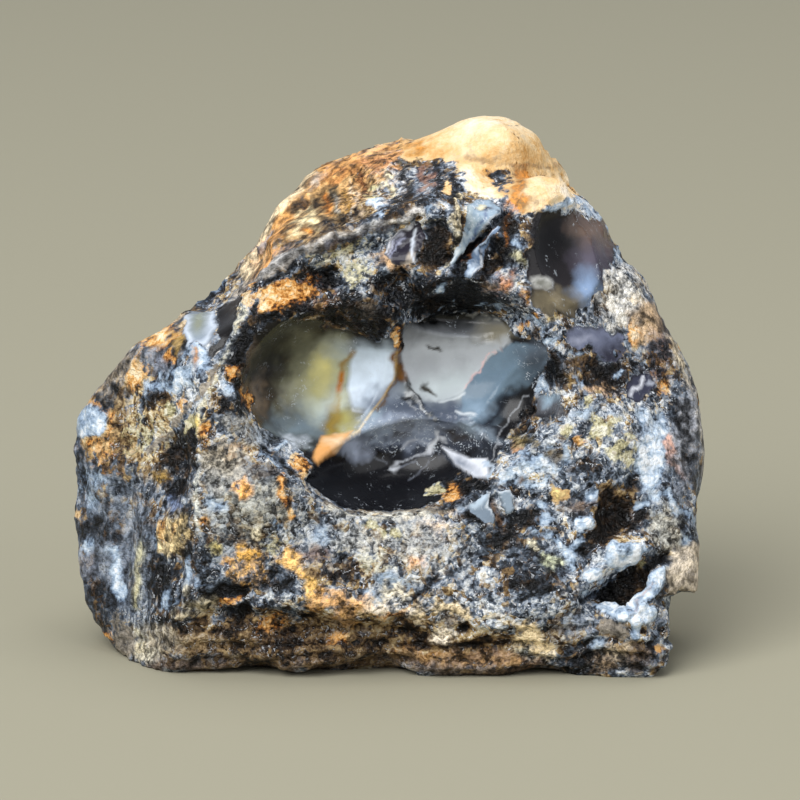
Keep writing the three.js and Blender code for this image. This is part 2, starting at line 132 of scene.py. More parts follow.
@dataclass(frozen=True)
class FaceOnView:
    """How the stone is looked at, face on, and how that view lies in the frame.

    The picture is square. On its sharp plane ten of its pixels are one millimetre.
    """

    look_down: float = math.radians(12)
    origin: Point = (0.0697, 4.7518, 3.9)  # the frame's origin in the leaned stone's own axes
    picture_size: float = 800.0  # pixels
    pixels_per_mm: float = 10.0
    middle: Place = (1.2, 27.9)  # x and z in the middle of the picture
    sharp_depth: float = -7.0  # y of the sharp plane
    eye_distance: float = 555.0  # from the eye to the sharp plane
    sensor: float = 36.0

    def from_frame(self, points: Array) -> Array:
        """Turns places in the frame into face-on ones.

        Args:
            points: places in metres, one row each.

        Returns:
            Places in face-on millimetres.
        """
        x, y, z = (points / MM + self.origin).T
        lean, rise = math.sin(self.look_down), math.cos(self.look_down)
        return np.stack([x, y * rise - z * lean, y * lean + z * rise], axis=1)

    def to_frame(self, points: Array) -> Array:
        """Turns face-on places into places in the frame.

        Args:
            points: places in face-on millimetres, one row each.

        Returns:
            Places in metres.
        """
        x, y, z = points.T
        lean, rise = math.sin(self.look_down), math.cos(self.look_down)
        return (np.stack([x, y * rise + z * lean, z * rise - y * lean], axis=1) - self.origin) * MM

    def picture(self, points: Array) -> Array:
        """Finds where points are seen in the picture.

        Args:
            points: face-on places, one row each.

        Returns:
            Pixel column and row of each point.
        """
        scale = self.pixels_per_mm * self.eye_distance / (self.eye_distance + points[:, 1] - self.sharp_depth)
        column = self.picture_size / 2 + (points[:, 0] - self.middle[0]) * scale
        row = self.picture_size / 2 - (points[:, 2] - self.middle[1]) * scale
        return np.stack([column, row], axis=1)

    def add_camera(self) -> None:
        """Adds the camera at the eye and makes it the scene's own."""
        eye = np.array([[self.middle[0], self.sharp_depth - self.eye_distance, self.middle[1]]])
        bpy.ops.object.camera_add(
            location=self.to_frame(eye)[0], rotation=(math.pi / 2 - self.look_down, 0, 0)
        )
        camera = bpy.context.object
        camera.name = "eye"
        width = self.picture_size / self.pixels_per_mm
        camera.data.sensor_width = self.sensor
        camera.data.lens = self.sensor * self.eye_distance / width
        camera.data.clip_start = 10 * MM
        bpy.context.scene.camera = camera


@dataclass(frozen=True)
class Hollow:
    """A shell-shaped hollow, cut by an ellipsoid: its mouth's half widths, its depth, its turn and facing."""

    name: str
    at: Point
    mouth: Place
    depth: float
    turn: float = 0.0
    facing: Point = (0.0, -1.0, 0.0)

    def distance(self, points: Array) -> Array:
        """Distance from the hollow's wall.

        Args:
            points: face-on places, one row each.

        Returns:
            One value for each point, negative in the hollow's air.
        """
        out = np.array(self.facing) / np.linalg.norm(self.facing)
        reach = self.depth / (1 - STANDOFF)
        centre = np.array(self.at) + out * (reach - self.depth)
        share = math.sqrt(1 - STANDOFF**2)
        radii = np.array([self.mouth[0] / share, reach, self.mouth[1] / share])
        right = np.array([-out[1], out[0], 0.0])
        right /= np.linalg.norm(right)
        up = -np.cross(right, out)
        c, s = math.cos(math.radians(self.turn)), math.sin(math.radians(self.turn))
        axes = np.stack([right * c + np.cross(out, right) * s, out, up * c + np.cross(out, up) * s])
        unit = (points - centre) @ axes.T / radii
        length = np.linalg.norm(unit, axis=1)
        slope = np.linalg.norm(unit / radii, axis=1)
        return length * (length - 1) / np.maximum(slope, TINY)


class Stuff(Enum):
    """What a mark lays on the stone: the attribute and the channel that hold it."""

    OPAL = ("opal", 3)
    TINT = ("opal", 0)
    MILK = ("bloom", 0)
    RUST = ("bloom", 1)
    CHALK = ("bloom", 2)
    OCHRE = ("bloom", 3)
    DARK = ("shade", 0)
    PALE = ("shade", 1)
    WARM = ("shade", 2)
    FIBRE = ("shade", 3)
    SKIN = ("cover", 0)
    SOFT = ("cover", 2)
    GLAZE = ("glaze", 3)
    SHAPE = ("", 0)


ATTRIBUTES = ("opal", "bloom", "shade", "cover", "glaze")
# What covers whatever lies under it
COVERING = (Stuff.OPAL, Stuff.MILK, Stuff.RUST, Stuff.CHALK, Stuff.OCHRE, Stuff.SKIN, Stuff.DARK)


@dataclass(frozen=True)
class Mark:
    """Something that shows on the stone where it is seen in the picture.

    Places and widths are pixels of the picture. The edge is half the width over which the mark fades, wobble
    is how far its border strays, and relief is how far it stands proud, in millimetres.
    """

    name: str
    stuff: Stuff
    look: str | float = 1.0  # its colour, or else how strong it is
    edge: float = 3.0
    wobble: float = 3.0
    strength: float = field(default=1.0, kw_only=True)
    relief: float = field(default=0.0, kw_only=True)

    def outside(self, places: Array) -> Array:
        """Distance from the mark's border.

        Args:
            places: where the points are, one row each.

        Returns:
            One value for each point, negative inside the mark.
        """
        raise NotImplementedError

    def cover(self, places: Array, stray: Array) -> Array:
        """How much of the mark each place has.

        Args:
            places: where the points are, one row each.
            stray: how they are moved to make borders uneven, for a wobble of one.

        Returns:
            One share from 0 to 1 for each point.
        """
        return np.clip(0.5 - self.outside(places + stray * self.wobble) / (2 * self.edge), 0, 1)


@dataclass(frozen=True)
class Blot(Mark):
    """A round or oval mark."""

    at: Place = (0.0, 0.0)
    half: Place = (1.0, 1.0)
    turn: float = 0.0

    def outside(self, places: Array) -> Array:
        """Distance from the oval's border, near enough."""
        c, s = math.cos(math.radians(self.turn)), math.sin(math.radians(self.turn))
        across, down = (places - self.at).T
        reach = np.hypot((across * c - down * s) / self.half[0], (across * s + down * c) / self.half[1])
        return (reach - 1) * min(self.half)


@dataclass(frozen=True)
class Vein(Mark):
    """A line through some places."""

    through: tuple[Place, ...] = ()
    half_width: float = 1.5

    def outside(self, places: Array) -> Array:
        """Distance from the line's side."""
        nearest = np.full(len(places), np.inf)
        for start, end in zip(self.through, self.through[1:]):
            step = np.subtract(end, start)
            along = np.clip((places - start) @ step / (step @ step), 0, 1)
            nearest = np.minimum(nearest, np.linalg.norm(places - start - along[:, None] * step, axis=1))
        return nearest - self.half_width


@dataclass(frozen=True)
class Patch(Vein):
    """A flat-sided patch with its corners at some places."""

    half_width: float = 0.0

    def outside(self, places: Array) -> Array:
        """Distance from the patch's border."""
        ring = Vein("", self.stuff, through=(*self.through, self.through[0]), half_width=0.0)
        inside = np.zeros(len(places), dtype=bool)
        across, down = places.T
        for (ax, ay), (bx, by) in zip(ring.through, ring.through[1:]):
            spans = (ay > down) != (by > down)
            inside ^= spans & (across < (bx - ax) * (down - ay) / ((by - ay) or TINY) + ax)
        distance = ring.outside(places)
        return np.where(inside, -distance, distance)


@dataclass(frozen=True)
class Spot(Mark):
    """An ellipsoid on the sides that the picture doesn't show. All its lengths are face-on millimetres."""

    at: Point = (0.0, 0.0, 0.0)
    half: Point = (1.0, 1.0, 1.0)

    def outside(self, places: Array) -> Array:
        """Distance from the ellipsoid, near enough."""
        return (np.linalg.norm((places - self.at) / self.half, axis=1) - 1) * min(self.half)


# The hollows of the front whose walls are glassy, as they lie face on
GLASSY_HOLLOWS = (
    Hollow("window", (0.4, -18, 27.8), (16.2, 9.8), 6.8, -5),
    Hollow("left pocket", (-5.8, -17.6, 29.6), (9.6, 8.0), 8.2, 18),
    Hollow("black bowl", (2.2, -18, 22.4), (10.8, 6.0), 9.2, 10),
    Hollow("grey shelf", (7.0, -16.6, 32.0), (9.0, 6.4), 8.0, 0, (0.05, -0.85, 0.52)),
    Hollow("blue facet", (11.6, -17.2, 28.2), (5.8, 6.8), 6.8, -35),
    Hollow("roof over the shelf", (7.6, -16.6, 35.8), (7.6, 3.0), 7.4, -3),
    Hollow("smoky face", (18.8, -11.6, 41.9), (5.6, 6.0), 1.3, 0, (0.58, -0.76, 0.28)),
)

# Short names for the tables below, whose rows give a name, a stuff, a look, an edge, a wobble and the places
O, T, M, R, C, Y = Stuff.OPAL, Stuff.TINT, Stuff.MILK, Stuff.RUST, Stuff.CHALK, Stuff.OCHRE
D, P, W, F, S = Stuff.DARK, Stuff.PALE, Stuff.WARM, Stuff.FIBRE, Stuff.SKIN
G, B, X = Stuff.GLAZE, Stuff.SOFT, Stuff.SHAPE

# fmt: off
# What is refined twice, for its crisp edges
CRISP_PLACES = (
    Blot("glassy hollow", O, at=(396, 412), half=(156, 98), turn=-14),
    Blot("columns of top slope", O, at=(352, 200), half=(80, 26), turn=24),
    Blot("prisms", O, at=(478, 238), half=(28, 44), turn=-30),
    Blot("facet of ridge", O, at=(404, 242), half=(24, 24)),
    Blot("grey opal pieces", O, at=(492, 508), half=(30, 20)),
    Blot("blue-white vein", O, at=(634, 596), half=(40, 36), turn=40),
    Blot("pale oval", O, at=(200, 328), half=(20, 28)),
)

# Where the pale slab ends and the black bowl starts
SLAB_EDGE = ((397, 352), (394, 378), (384, 396), (372, 412), (359, 430), (348, 437))
# The opal in the hollow of the front, from its darkest to its palest planes, with painted glow, shadow, reflection and
# highlights
WINDOW_MARKS: tuple[Mark, ...] = (
    Patch("glassy hollow", O, "#17161a", 3, 1.6, ((240, 338), (262, 322), (300, 317), (342, 326), (384, 340),
        (402, 326), (440, 312), (500, 314), (514, 336), (548, 345), (548, 362), (536, 384), (532, 402), (522, 416),
        (514, 430), (504, 440), (499, 452), (493, 462), (490, 480), (462, 484), (440, 500), (412, 513), (364, 512),
        (338, 505), (316, 493), (306, 480), (314, 464), (300, 452), (282, 440), (262, 428), (250, 410), (245, 392),
        (240, 370))),
    Blot("grain of pocket", T, "#4c463a", 14, 6, (276, 400), (24, 26)),
    Blot("green-grey glow", T, "#8b8b72", 20, 4, (312, 382), (34, 42)),
    Blot("blue-grey foot of pocket", T, "#74838d", 12, 5, (304, 428), (34, 14)),
    Blot("pale wall of pocket", T, "#a9ae9c", 12, 3, (334, 356), (14, 18)),
    Blot("blue-grey middle", T, "#b3bfbd", 11, 3, (322, 404), (18, 16)),
    Blot("yellow-green glow", T, "#b9b47c", 12, 2, (316, 388), (9, 12)),
    Blot("yellow glow", T, "#e6dc92", 11, 2, (326, 369), (11, 14)),
    Blot("dark of pocket", T, "#0d0b09", 15, 3, (254, 354), (35, 38), 16),
    Blot("dark roof of pocket", T, "#1d1913", 10, 3, (300, 314), (56, 12), -6),
    Blot("brown of pocket", T, "#2c251c", 10, 6, (260, 396), (16, 25)),
    Blot("strip beside slab", T, "#b3b89f", 5, 3, (341, 398), (7, 42)),
    Patch("pale slab", T, "#dcebfb", 2.5, 0.6, ((350, 366), (352, 354), (358, 348), (397, 352), (394, 378),
        (384, 396), (371, 413), (352, 408), (348, 388))),
    Blot("shade of slab's head", T, "#bccbd8", 9, 3, (374, 351), (24, 6)),
    Patch("olive foot of slab", T, "#aaa362", 3, 1, ((331, 412), (352, 408), (371, 413), (359, 430), (350, 436),
        (326, 437))),
    Blot("brown of that foot", T, "#7d6636", 5, 2, (333, 424), (6, 13)),
    Vein("bright seam over foot", T, "#f6fafc", 1.3, 1, ((353, 409), (369, 414)), 0.9),
    Vein("amber vein", T, "#b06a12", 2, 1, ((341, 374), (340, 390)), 2.6),
    Vein("head of amber vein", T, "#94722f", 2.5, 2, ((352, 351), (346, 361), (342, 370)), 1.8),
    Vein("tail of amber vein", T, "#9a8340", 3, 2, ((339, 394), (335, 412), (332, 430))),
    Patch("black depths", T, "#0d0d11", 1.1, 0.6, ((397, 352), (404, 398), (440, 402), (464, 397), (480, 424),
        (500, 438), (499, 452), (493, 462), (490, 484), (470, 498), (445, 508), (412, 513), (364, 512), (338, 505),
        (316, 493), (306, 480), (318, 466), (346, 440), (359, 430), (372, 412), (384, 396), (395, 377))),
    Blot("blue-grey of ledge", T, "#667085", 14, 5, (416, 418), (54, 28), -4),
    # Painted light under the arc and left of it, where the bowl's lip casts its shadow
    Blot("blue-grey under arc", T, "#c3cfe4", 9, 5, (412, 428), (38, 10), 2),
    Blot("blue-grey left of arc", T, "#b3bed4", 7, 4, (352, 447), (16, 9), -24),
    Blot("blue-grey of ledge, right", T, "#454b57", 10, 5, (476, 434), (24, 16), -20),
    Blot("pale by slab", T, "#7f8999", 9, 4, (393, 402), (14, 12)),
    Blot("shade over arc", T, "#5d6678", 7, 3, (424, 414), (40, 7), -4),
    Blot("pale blue by edge", T, "#a8bccd", 5, 3, (374, 419), (5, 11), -34),
    Blot("pale under frill", T, "#8d99ad", 8, 5, (424, 432), (18, 7)),
    Blot("brown of ledge", T, "#37322f", 7, 5, (456, 434), (15, 7)),
    Blot("brown of ledge, left", T, "#443e3a", 6, 5, (401, 432), (8, 6)),
    # A painted sheen, pale blue, on the ledge
    Blot("pale blue of ledge", T, "#b0c3d4", 5, 3, (477, 431), (13, 4), -24),
    # The shelf's grey, palest at its foot, is partly painted reflection; the black at its head is painted shadow under
    # the roof
    Patch("shelf", T, "#b9bec4", 1.3, 0.5, ((403, 322), (430, 314), (500, 316), (511, 342), (489, 360), (476, 374),
        (465, 392), (440, 402), (418, 402), (407, 396), (403, 376), (402, 350))),
    Blot("dark head of shelf", T, "#070707", 14, 2, (440, 314), (90, 22), 3),
    Blot("pale foot of shelf", T, "#cdd7da", 10, 2, (450, 386), (34, 13), 8),
    Blot("shade under shelf", T, "#4f5868", 5, 3, (414, 407), (36, 7), -4),
    Blot("pale left of that shade", T, "#9fadc0", 7, 5, (380, 430), (14, 8), -10),
    Blot("tan of pocket's left", T, "#6a5a47", 7, 6, (254, 400), (9, 18)),
    # A small painted highlight at the foot of the pocket
    Blot("pale foot of pocket", T, "#c3cbd6", 6, 6, (290, 440), (9, 5), -16),
    Blot("brown of pocket's left", T, "#5c4f42", 8, 6, (242, 348), (12, 14)),
    Blot("end of shelf", T, "#8d8877", 6, 3, (496, 332), (16, 8)),
    Patch("blue facet", T, "#6f8597", 1.1, 0.5, ((511, 343), (530, 344), (547, 350), (548, 362), (530, 384),
        (514, 405), (497, 426), (478, 424), (462, 412), (462, 396), (471, 379), (489, 360))),
    Blot("smoky end of facet", T, "#56606c", 9, 3, (538, 358), (15, 15)),
    Blot("pale tongue of facet", T, "#93aabf", 7, 3, (478, 410), (14, 9), -20),
    Vein("shade of facet", T, "#272c36", 6, 3, ((484, 426), (500, 410), (522, 390)), 6),
    Blot("black of facet", T, "#08080a", 7, 3, (516, 404), (11, 32), -36),
    Vein("rim of shelf's foot", T, "#e4ebee", 1.4, 1, ((440, 402), (452, 400), (465, 394)), 0.6),
    Vein("fringe, pink", T, "#efc3c0", 1.2, 3, ((500, 351), (489, 360), (476, 374), (466, 389)), 0.7),
    Vein("glint on facet", T, "#eef4f8", 1.3, 1, ((456, 411), (464, 415), (475, 415)), 0.8),
    Blot("hair in shelf", T, "#26251f", 1.2, 3, (434, 349), (5, 1.7)),
    Blot("dark fleck in shelf", T, "#35332b", 1.4, 2.5, (429, 390), (6, 3), -18),
    Vein("dark frill, upper", T, "#1b1916", 1.6, 3, ((403, 377), (410, 393), (420, 400))),
    Vein("dark frill, middle", T, "#14130f", 1.8, 4, ((410, 400), (420, 404), (436, 416)), 2.2),
    Vein("pale frill", T, "#d3d6d9", 1.3, 3, ((408, 395), (420, 405), (435, 417)), 0.7),
    Vein("pale frill, lower", T, "#a9adb3", 1.3, 3, ((409, 403), (416, 411)), 0.7),
    Vein("ripple, upper", T, "#c9ced8", 1.2, 1, ((401, 450), (408, 441), (417, 439), (427, 443)), 0.5),
    Vein("ripple, middle", T, "#d0d5de", 1.2, 1, ((395, 464), (404, 460), (415, 456), (424, 454)), 0.6),
    Vein("ripple, lower", T, "#7c8391", 1.2, 1, ((399, 468), (408, 464), (416, 461)), 0.3),
    Vein("ray under ripples", T, "#6c717c", 1.2, 1, ((410, 480), (422, 470), (430, 461)), 0.2),
    Vein("ray at left", T, "#6f747e", 1.2, 1, ((362, 447), (375, 457), (386, 465)), 0.2),
    Blot("frost of ripples", T, "#e4e8ef", 3, 6, (432, 446), (5, 7), -20),
    Blot("frost of ray", T, "#d5d9e0", 2, 4, (393, 468), (4, 2), -30),
    # The blade is a raised fin whose near-white is a painted highlight; the blue-grey beside it is painted shade
    Patch("blade", T, "#f2f6ff", 1.2, 0.6, ((441, 447), (455, 452), (470, 459), (488, 458), (489, 478), (474, 478),
        (456, 466)), relief=0.3),
    Blot("shade of blade", T, "#727d90", 5, 2, (462, 464), (12, 4), -30),
    Vein("sliver beside blade", T, "#b9cadb", 1.5, 3, ((491, 462), (489, 486)), 2.6),
    Blot("grit on ledge", P, 0.8, 10, 3, (404, 432), (46, 24)),
    Blot("grit on dark foot", P, 0.8, 8, 3, (464, 440), (30, 14)),
    Blot("grit by blade", P, 1, 5, 3, (432, 446), (9, 11)),
    Vein("pale scratches of roof", T, "#bdbdb8", 1.4, 3, ((463, 311), (482, 315), (500, 318)), 0.6),
    Vein("brown vein", T, "#6d4410", 3, 3, ((399, 346), (398, 362), (400, 378)), 3.4),
    Vein("dark head of brown vein", D, 1, 4, 5, ((392, 318), (399, 332), (400, 346)), 5),
    Blot("orange in brown vein", R, 1, 3, 2, (396, 338), (4, 9)),
    # Painted shadow, brown, along the slab's edge
    Vein("shadow under edge", T, "#604722", 1.6, 3, ((399, 366), (394, 384), (386, 399), (378, 410)), 1.2),
    Vein("golden edge of slab", T, "#c9a765", 1.2, 0.5, SLAB_EDGE, 0.5),
    Vein("cream of that edge", T, "#fff3d8", 1, 0.5, SLAB_EDGE[3:], 0.5),
    Patch("orange wedge", T, "#e5a765", 1.6, 1, ((322, 436), (352, 431), (342, 444), (318, 465), (313, 458))),
    Blot("cream of wedge", T, "#fbdfb8", 4, 3, (336, 440), (10, 4), 24),
    Vein("rim of bowl", S, 1, 1.8, 1.5, ((314, 490), (322, 500), (340, 508), (364, 512), (400, 512),
        (440, 508)), 1.2),
    Vein("pale foot of rim", G, "#d5d0bf", 2.5, 2, ((328, 507), (350, 514), (400, 516), (446, 510)), 2),
    Blot("black right of bowl", D, 1, 5, 4, (468, 486), (24, 9), 8),
    Blot("cream grains by bowl", Y, 1, 3, 3, (434, 489), (8, 6)),
    Blot("gold grains by bowl", R, 0.9, 3, 3, (452, 494), (11, 8)),
    Vein("crack", T, "#b4b8be", 1.1, 2, ((529, 393), (518, 404), (509, 415), (506, 428), (497, 434), (498, 446),
        (492, 461), (486, 477)), 0.2),
    Vein("dark rim left of pocket", D, 1, 5, 4, ((252, 324), (238, 348), (236, 376), (244, 408)), 7),
    Vein("dark rim over pocket", D, 1, 5, 4, ((252, 322), (300, 308), (352, 322), (380, 330)), 7),
    Blot("rust beside pocket", R, 1, 2.5, 3, (233, 373), (5, 8), -30),
    Blot("orange under pocket", R, 0.9, 3, 3, (246, 398), (4, 10), 20),
)

# The top slope, the ridge under it, the chalky cap and the glassy face on its right
CREST_MARKS: tuple[Mark, ...] = (
    Blot("streaks of top slope", F, 1, 10, 3, (350, 196), (86, 42), 25),
    Vein("smooth outline of brow", B, 1, 8, 3, ((240, 268), (262, 236), (284, 202), (321, 166), (360, 153),
        (403, 141)), 12),
    Blot("rust of top slope", W, 1, 12, 3, (320, 200), (56, 50), 38),
    Blot("tan of top slope", G, "#c89d66", 12, 6, (326, 198), (74, 34), 28, strength=0.93),
    Blot("smooth top slope", B, 0.9, 10, 3, (300, 214), (58, 24), 50),
    Vein("orange brow", G, "#e6a65c", 4, 5, ((246, 268), (268, 238), (288, 210), (306, 190), (326, 174),
        (366, 164), (398, 160)), 9, strength=0.95),
    Vein("brown of brow", G, "#bf7f44", 4, 6, ((322, 178), (340, 176), (352, 170), (392, 164)), 4, strength=0.8),
    Vein("pale rim of brow", G, "#fce4ba", 3, 2, ((238, 268), (262, 232), (284, 200), (321, 162), (360, 149),
        (403, 137)), 6),
    Vein("dark streak of slope", G, "#3c3026", 3, 4, ((306, 190), (302, 200), (294, 212)), 3.5),
    Vein("grey streak of slope", G, "#beb6aa", 3, 3, ((320, 178), (312, 190)), 2.5),
    Patch("cream streak of slope", G, "#ecd9ac", 4, 4, ((312, 200), (318, 216), (314, 236), (300, 240), (292, 232),
        (298, 214))),
    Blot("orange spot of slope", G, "#e08f35", 3, 2, (307, 232), (5, 6)),
    Blot("orange left end of ridge", G, "#d9984f", 4, 4, (277, 258), (12, 6), 34),
    Blot("dark over ridge", G, "#2d2620", 5, 6, (332, 222), (24, 8), 16),
    Blot("blue-black over ridge", G, "#232a36", 4, 4, (328, 228), (8, 6), 16),
    Vein("dark column, left", G, "#46382a", 2.5, 3, ((316, 200), (322, 220)), 3),
    Vein("amber column, left", G, "#cf7c22", 2, 2, ((327, 196), (328, 210)), 2.4),
    Vein("dark column", G, "#37342a", 2, 3, ((334, 186), (336, 214)), 3),
    Vein("white column", G, "#d2ccc0", 1.6, 2, ((336, 198), (337, 210)), 1.2),
    Vein("amber column", G, "#b98a3c", 2, 3, ((345, 190), (347, 212)), 3),
    Vein("cream column", G, "#e2cbb0", 2, 3, ((354, 184), (358, 218)), 2.2),
    Vein("white line of columns", G, "#d8d3ca", 1.6, 2, ((352, 208), (351, 224)), 1.2),
    Vein("brown column", G, "#8a5024", 2, 3, ((361, 176), (363, 200)), 2.6),
    Blot("dark foot of columns", G, "#30241b", 3, 4, (360, 216), (5, 7)),
    Blot("pale green by patch", G, "#cdca9e", 3, 4, (373, 192), (9, 6), 12),
    Blot("grey-cream speckle", P, 0.8, 5, 5, (391, 184), (10, 18)),
    Vein("cream column, right", G, "#dccfa8", 3, 4, ((384, 170), (390, 196)), 3),
    Blot("black under patch", G, "#1d211f", 3, 3, (371, 216), (8, 5)),
    Vein("dark column, right", G, "#1a1816", 3, 4, ((404, 164), (408, 196)), 6),
    Blot("brown streaks", G, "#77492b", 4, 5, (426, 176), (8, 13)),
    Blot("grit of brown streaks", P, 0.8, 4, 4, (424, 178), (8, 12)),
    Blot("dark fibres of slope", D, 0.7, 5, 5, (400, 206), (28, 8), 20),
    Blot("cream fleck", C, 1, 2.5, 2, (446, 186), (5, 8)),
    Vein("black beside fleck", D, 1, 2.5, 3, ((452, 176), (457, 192), (452, 206)), 3),
    Vein("black beside fleck, left", D, 1, 2.5, 3, ((436, 170), (438, 196)), 2.4),
    Patch("pale-blue patch", M, 1, 1.6, 1.5, ((365, 208), (370, 200), (381, 199), (383, 204), (378, 208),
        (373, 206)), relief=0.2),
    Blot("pale-blue patch, tone", P, 1, 3, 3, (375, 203), (9, 5), 10),
    Vein("drip of patch", M, 1, 1.6, 3, ((382, 203), (381.5, 217)), 1.2),
    Vein("ridge, broad left end", G, "#aea395", 4, 2, ((230, 286), (262, 272), (290, 258), (318, 246)), 6),
    Vein("ridge", G, "#c9c8c4", 2.5, 2, ((262, 268), (290, 254), (325, 239), (366, 228), (407, 217),
        (424, 210)), 3, relief=0.25),
    Vein("fibres of ridge", F, 1, 4, 2, ((262, 270), (325, 241), (407, 220)), 8),
    Vein("pale line of ridge", P, 1, 2, 2, ((300, 249), (330, 237), (366, 227), (404, 217)), 1.6),
    Vein("smooth ridge", B, 1, 5, 3, ((240, 280), (290, 256), (325, 241), (366, 230), (407, 218)), 7),
    Vein("silver of ridge", G, "#b7b4b0", 2.5, 1, ((250, 276), (290, 256), (325, 241), (366, 230), (407, 218),
        (420, 208)), 4.5),
    Vein("dark strand of ridge", G, "#6d665f", 1.4, 1, ((262, 273), (290, 259), (325, 244), (366, 233),
        (400, 223)), 0.9),
    Vein("violet-grey under ridge", G, "#4a464c", 2.5, 3, ((322, 246), (356, 238), (396, 226)), 3.4),
    Vein("line under ridge", D, 0.8, 2.5, 2, ((262, 282), (290, 268), (322, 252), (356, 243)), 2.4),
    Patch("chalky cap", C, 1, 3, 3, ((396, 130), (452, 112), (485, 100), (520, 112), (560, 136), (592, 196),
        (578, 208), (560, 210), (540, 214), (522, 214), (512, 204), (506, 196), (494, 198), (470, 196), (462, 176),
        (458, 164), (432, 160), (404, 160)), relief=0.12),
    Vein("chalk of brow's top", C, 0.8, 4, 6, ((322, 164), (344, 156), (372, 149), (404, 141)), 7),
    Vein("orange of brow's top", G, "#dca263", 4, 6, ((326, 168), (350, 160), (376, 154),
        (400, 150)), 5, strength=0.8),
    Blot("pale crown", P, 1, 12, 3, (486, 122), (34, 14), -4),
    Blot("peach of cap", W, 0.3, 14, 5, (520, 150), (46, 16), -20),
    Blot("gold of brow", W, 1, 8, 5, (416, 148), (18, 9)),
    Blot("amber of brow", G, "#d98f3a", 5, 4, (417, 147), (12, 6), strength=0.8),
    Blot("brown of cap", G, "#9a7448", 4, 3, (482, 159), (18, 4), strength=0.9),
    Vein("brown line of cap", G, "#a88763", 2, 1.5, ((496, 164), (530, 166), (566, 171)), 1.8),
    Vein("bright foot of cap", P, 1, 4, 3, ((466, 176), (474, 190), (496, 194)), 8),
    Vein("bright edge of cap", P, 1, 4, 3, ((560, 178), (566, 196), (570, 206)), 4),
    Blot("speckled gap in cap", D, 0.9, 4, 5, (500, 180), (13, 9), -8),
    Blot("grey of gap", P, 1, 6, 3, (500, 182), (12, 8)),
    Vein("amber of cap", G, "#a8650f", 4, 3, ((521, 172), (521, 188), (514, 202)), 6),
    Blot("amber foot of cap", G, "#b9731c", 5, 4, (518, 203), (13, 9)),
    Vein("white rim of cap", M, 1, 3, 2, ((546, 210), (552, 207), (578, 200), (596, 214), (606, 228)), 4, relief=0.2),
    Blot("white of rim", P, 1, 6, 3, (580, 208), (36, 12), -24),
    Blot("white knob", M, 1, 3, 3, (614, 252), (7, 8), relief=0.4),
    Blot("dark behind prisms", D, 1, 5, 3, (484, 244), (30, 40), -38),
    Vein("cream band left of prisms", G, "#dccba4", 2, 3, ((460, 196), (455, 210), (458, 236)), 2.6, relief=0.3),
    Vein("cream edge of brown hollow", G, "#c9bfa0", 2, 2, ((430, 222), (446, 218), (453, 231), (459, 239),
        (453, 254), (447, 268)), 1.6, relief=0.2),
    Patch("large prism", O, "#93a8ba", 1.3, 1, ((468, 208), (473, 202), (488, 200), (502, 209), (485, 228),
        (464, 250), (452, 266), (450, 262), (461, 235)), relief=0.2),
    Vein("pale left of large prism", T, "#bccbd2", 3, 4, ((472, 212), (466, 232), (458, 250)), 3.5),
    Blot("blue-black head of prism", T, "#222b42", 2.5, 5, (486, 208), (7, 5), 20),
    Blot("yellow spot of prism", T, "#ece1b6", 1.6, 2, (481, 208), (3, 2.4)),
    Vein("blue streak of prism", T, "#56688a", 2, 3, ((486, 214), (478, 226), (470, 238)), 1.6),
    # The bright sides of the prisms are painted highlights
    Vein("bright side of large prism", T, "#f2f7fc", 1.2, 2, ((500, 211), (484, 228), (470, 242)), 0.6),
    Vein("bright left side of it", T, "#e6ecec", 1.2, 2, ((462, 236), (456, 252), (451, 263)), 0.8),
    Blot("specks of prism", P, 1, 5, 3, (480, 220), (18, 20)),
    Patch("small prism", O, "#7085a0", 1.3, 1.5, ((503, 228), (498, 225), (484, 241), (470, 255), (460, 277),
        (470, 280), (479, 269), (485, 253), (494, 240)), relief=0.2),
    Vein("dark streaks of small prism", T, "#141a24", 1.6, 3, ((494, 234), (484, 246), (478, 262)), 1.8),
    # A painted highlight along the small prism's side
    Vein("bright side of small prism", T, "#eef4fa", 1.2, 2, ((480, 256), (478, 266), (470, 276)), 1.1),
    Vein("bright streak of small prism", T, "#c3d2e2", 1.2, 2, ((498, 228), (486, 241), (474, 254)), 1),
    Blot("bright foot of small prism", T, "#d3e2f2", 2, 4, (466, 270), (4, 7), -26),
    Vein("gap between prisms", D, 1, 1.6, 1.5, ((505, 210), (486, 231), (468, 249), (458, 263)), 2.6, relief=-0.6),
    Vein("orange line of gap", G, "#a9672f", 1.4, 2, ((496, 226), (484, 239), (471, 250), (464, 262)), 1),
    Blot("black by small prism", D, 1, 3, 2, (497, 246), (7, 13), -30),
    Blot("brown hollow left of prisms", D, 1, 5, 3, (436, 246), (15, 24), -8, relief=-0.5),
    Blot("brown of that hollow", W, 1, 6, 3, (438, 252), (14, 22), -8),
    Patch("dark facet of ridge", O, "#2b2834", 2, 2, ((382, 256), (388, 242), (400, 230), (418, 220), (424, 230),
        (416, 262), (398, 262)), relief=0.1),
    Blot("pale foot of facet", T, "#c9bcab", 3, 5, (402, 261), (16, 3)),
    Vein("glint of ridge", T, "#f2f4fc", 1.4, 3, ((383, 254), (389, 243), (399, 231), (414, 222)), 1.2),
    Vein("glint of ridge, second", T, "#cdd0e4", 1.4, 3, ((387, 256), (392, 245), (402, 235)), 0.9),
    Vein("glint of ridge, third", T, "#aeb2cc", 1.4, 3, ((392, 256), (396, 247), (404, 239)), 0.8),
    Vein("glint of ridge, right", T, "#e3ebf8", 1.4, 2, ((416, 229), (413, 246), (414, 260)), 1.2),
    Vein("glints over facet", P, 1, 3, 2, ((402, 226), (424, 222), (430, 208)), 3),
    Blot("white glint", M, 1, 2, 2, (430, 208), (4, 5)),
    Blot("tone of white glint", P, 1, 3, 3, (430, 208), (5, 6)),
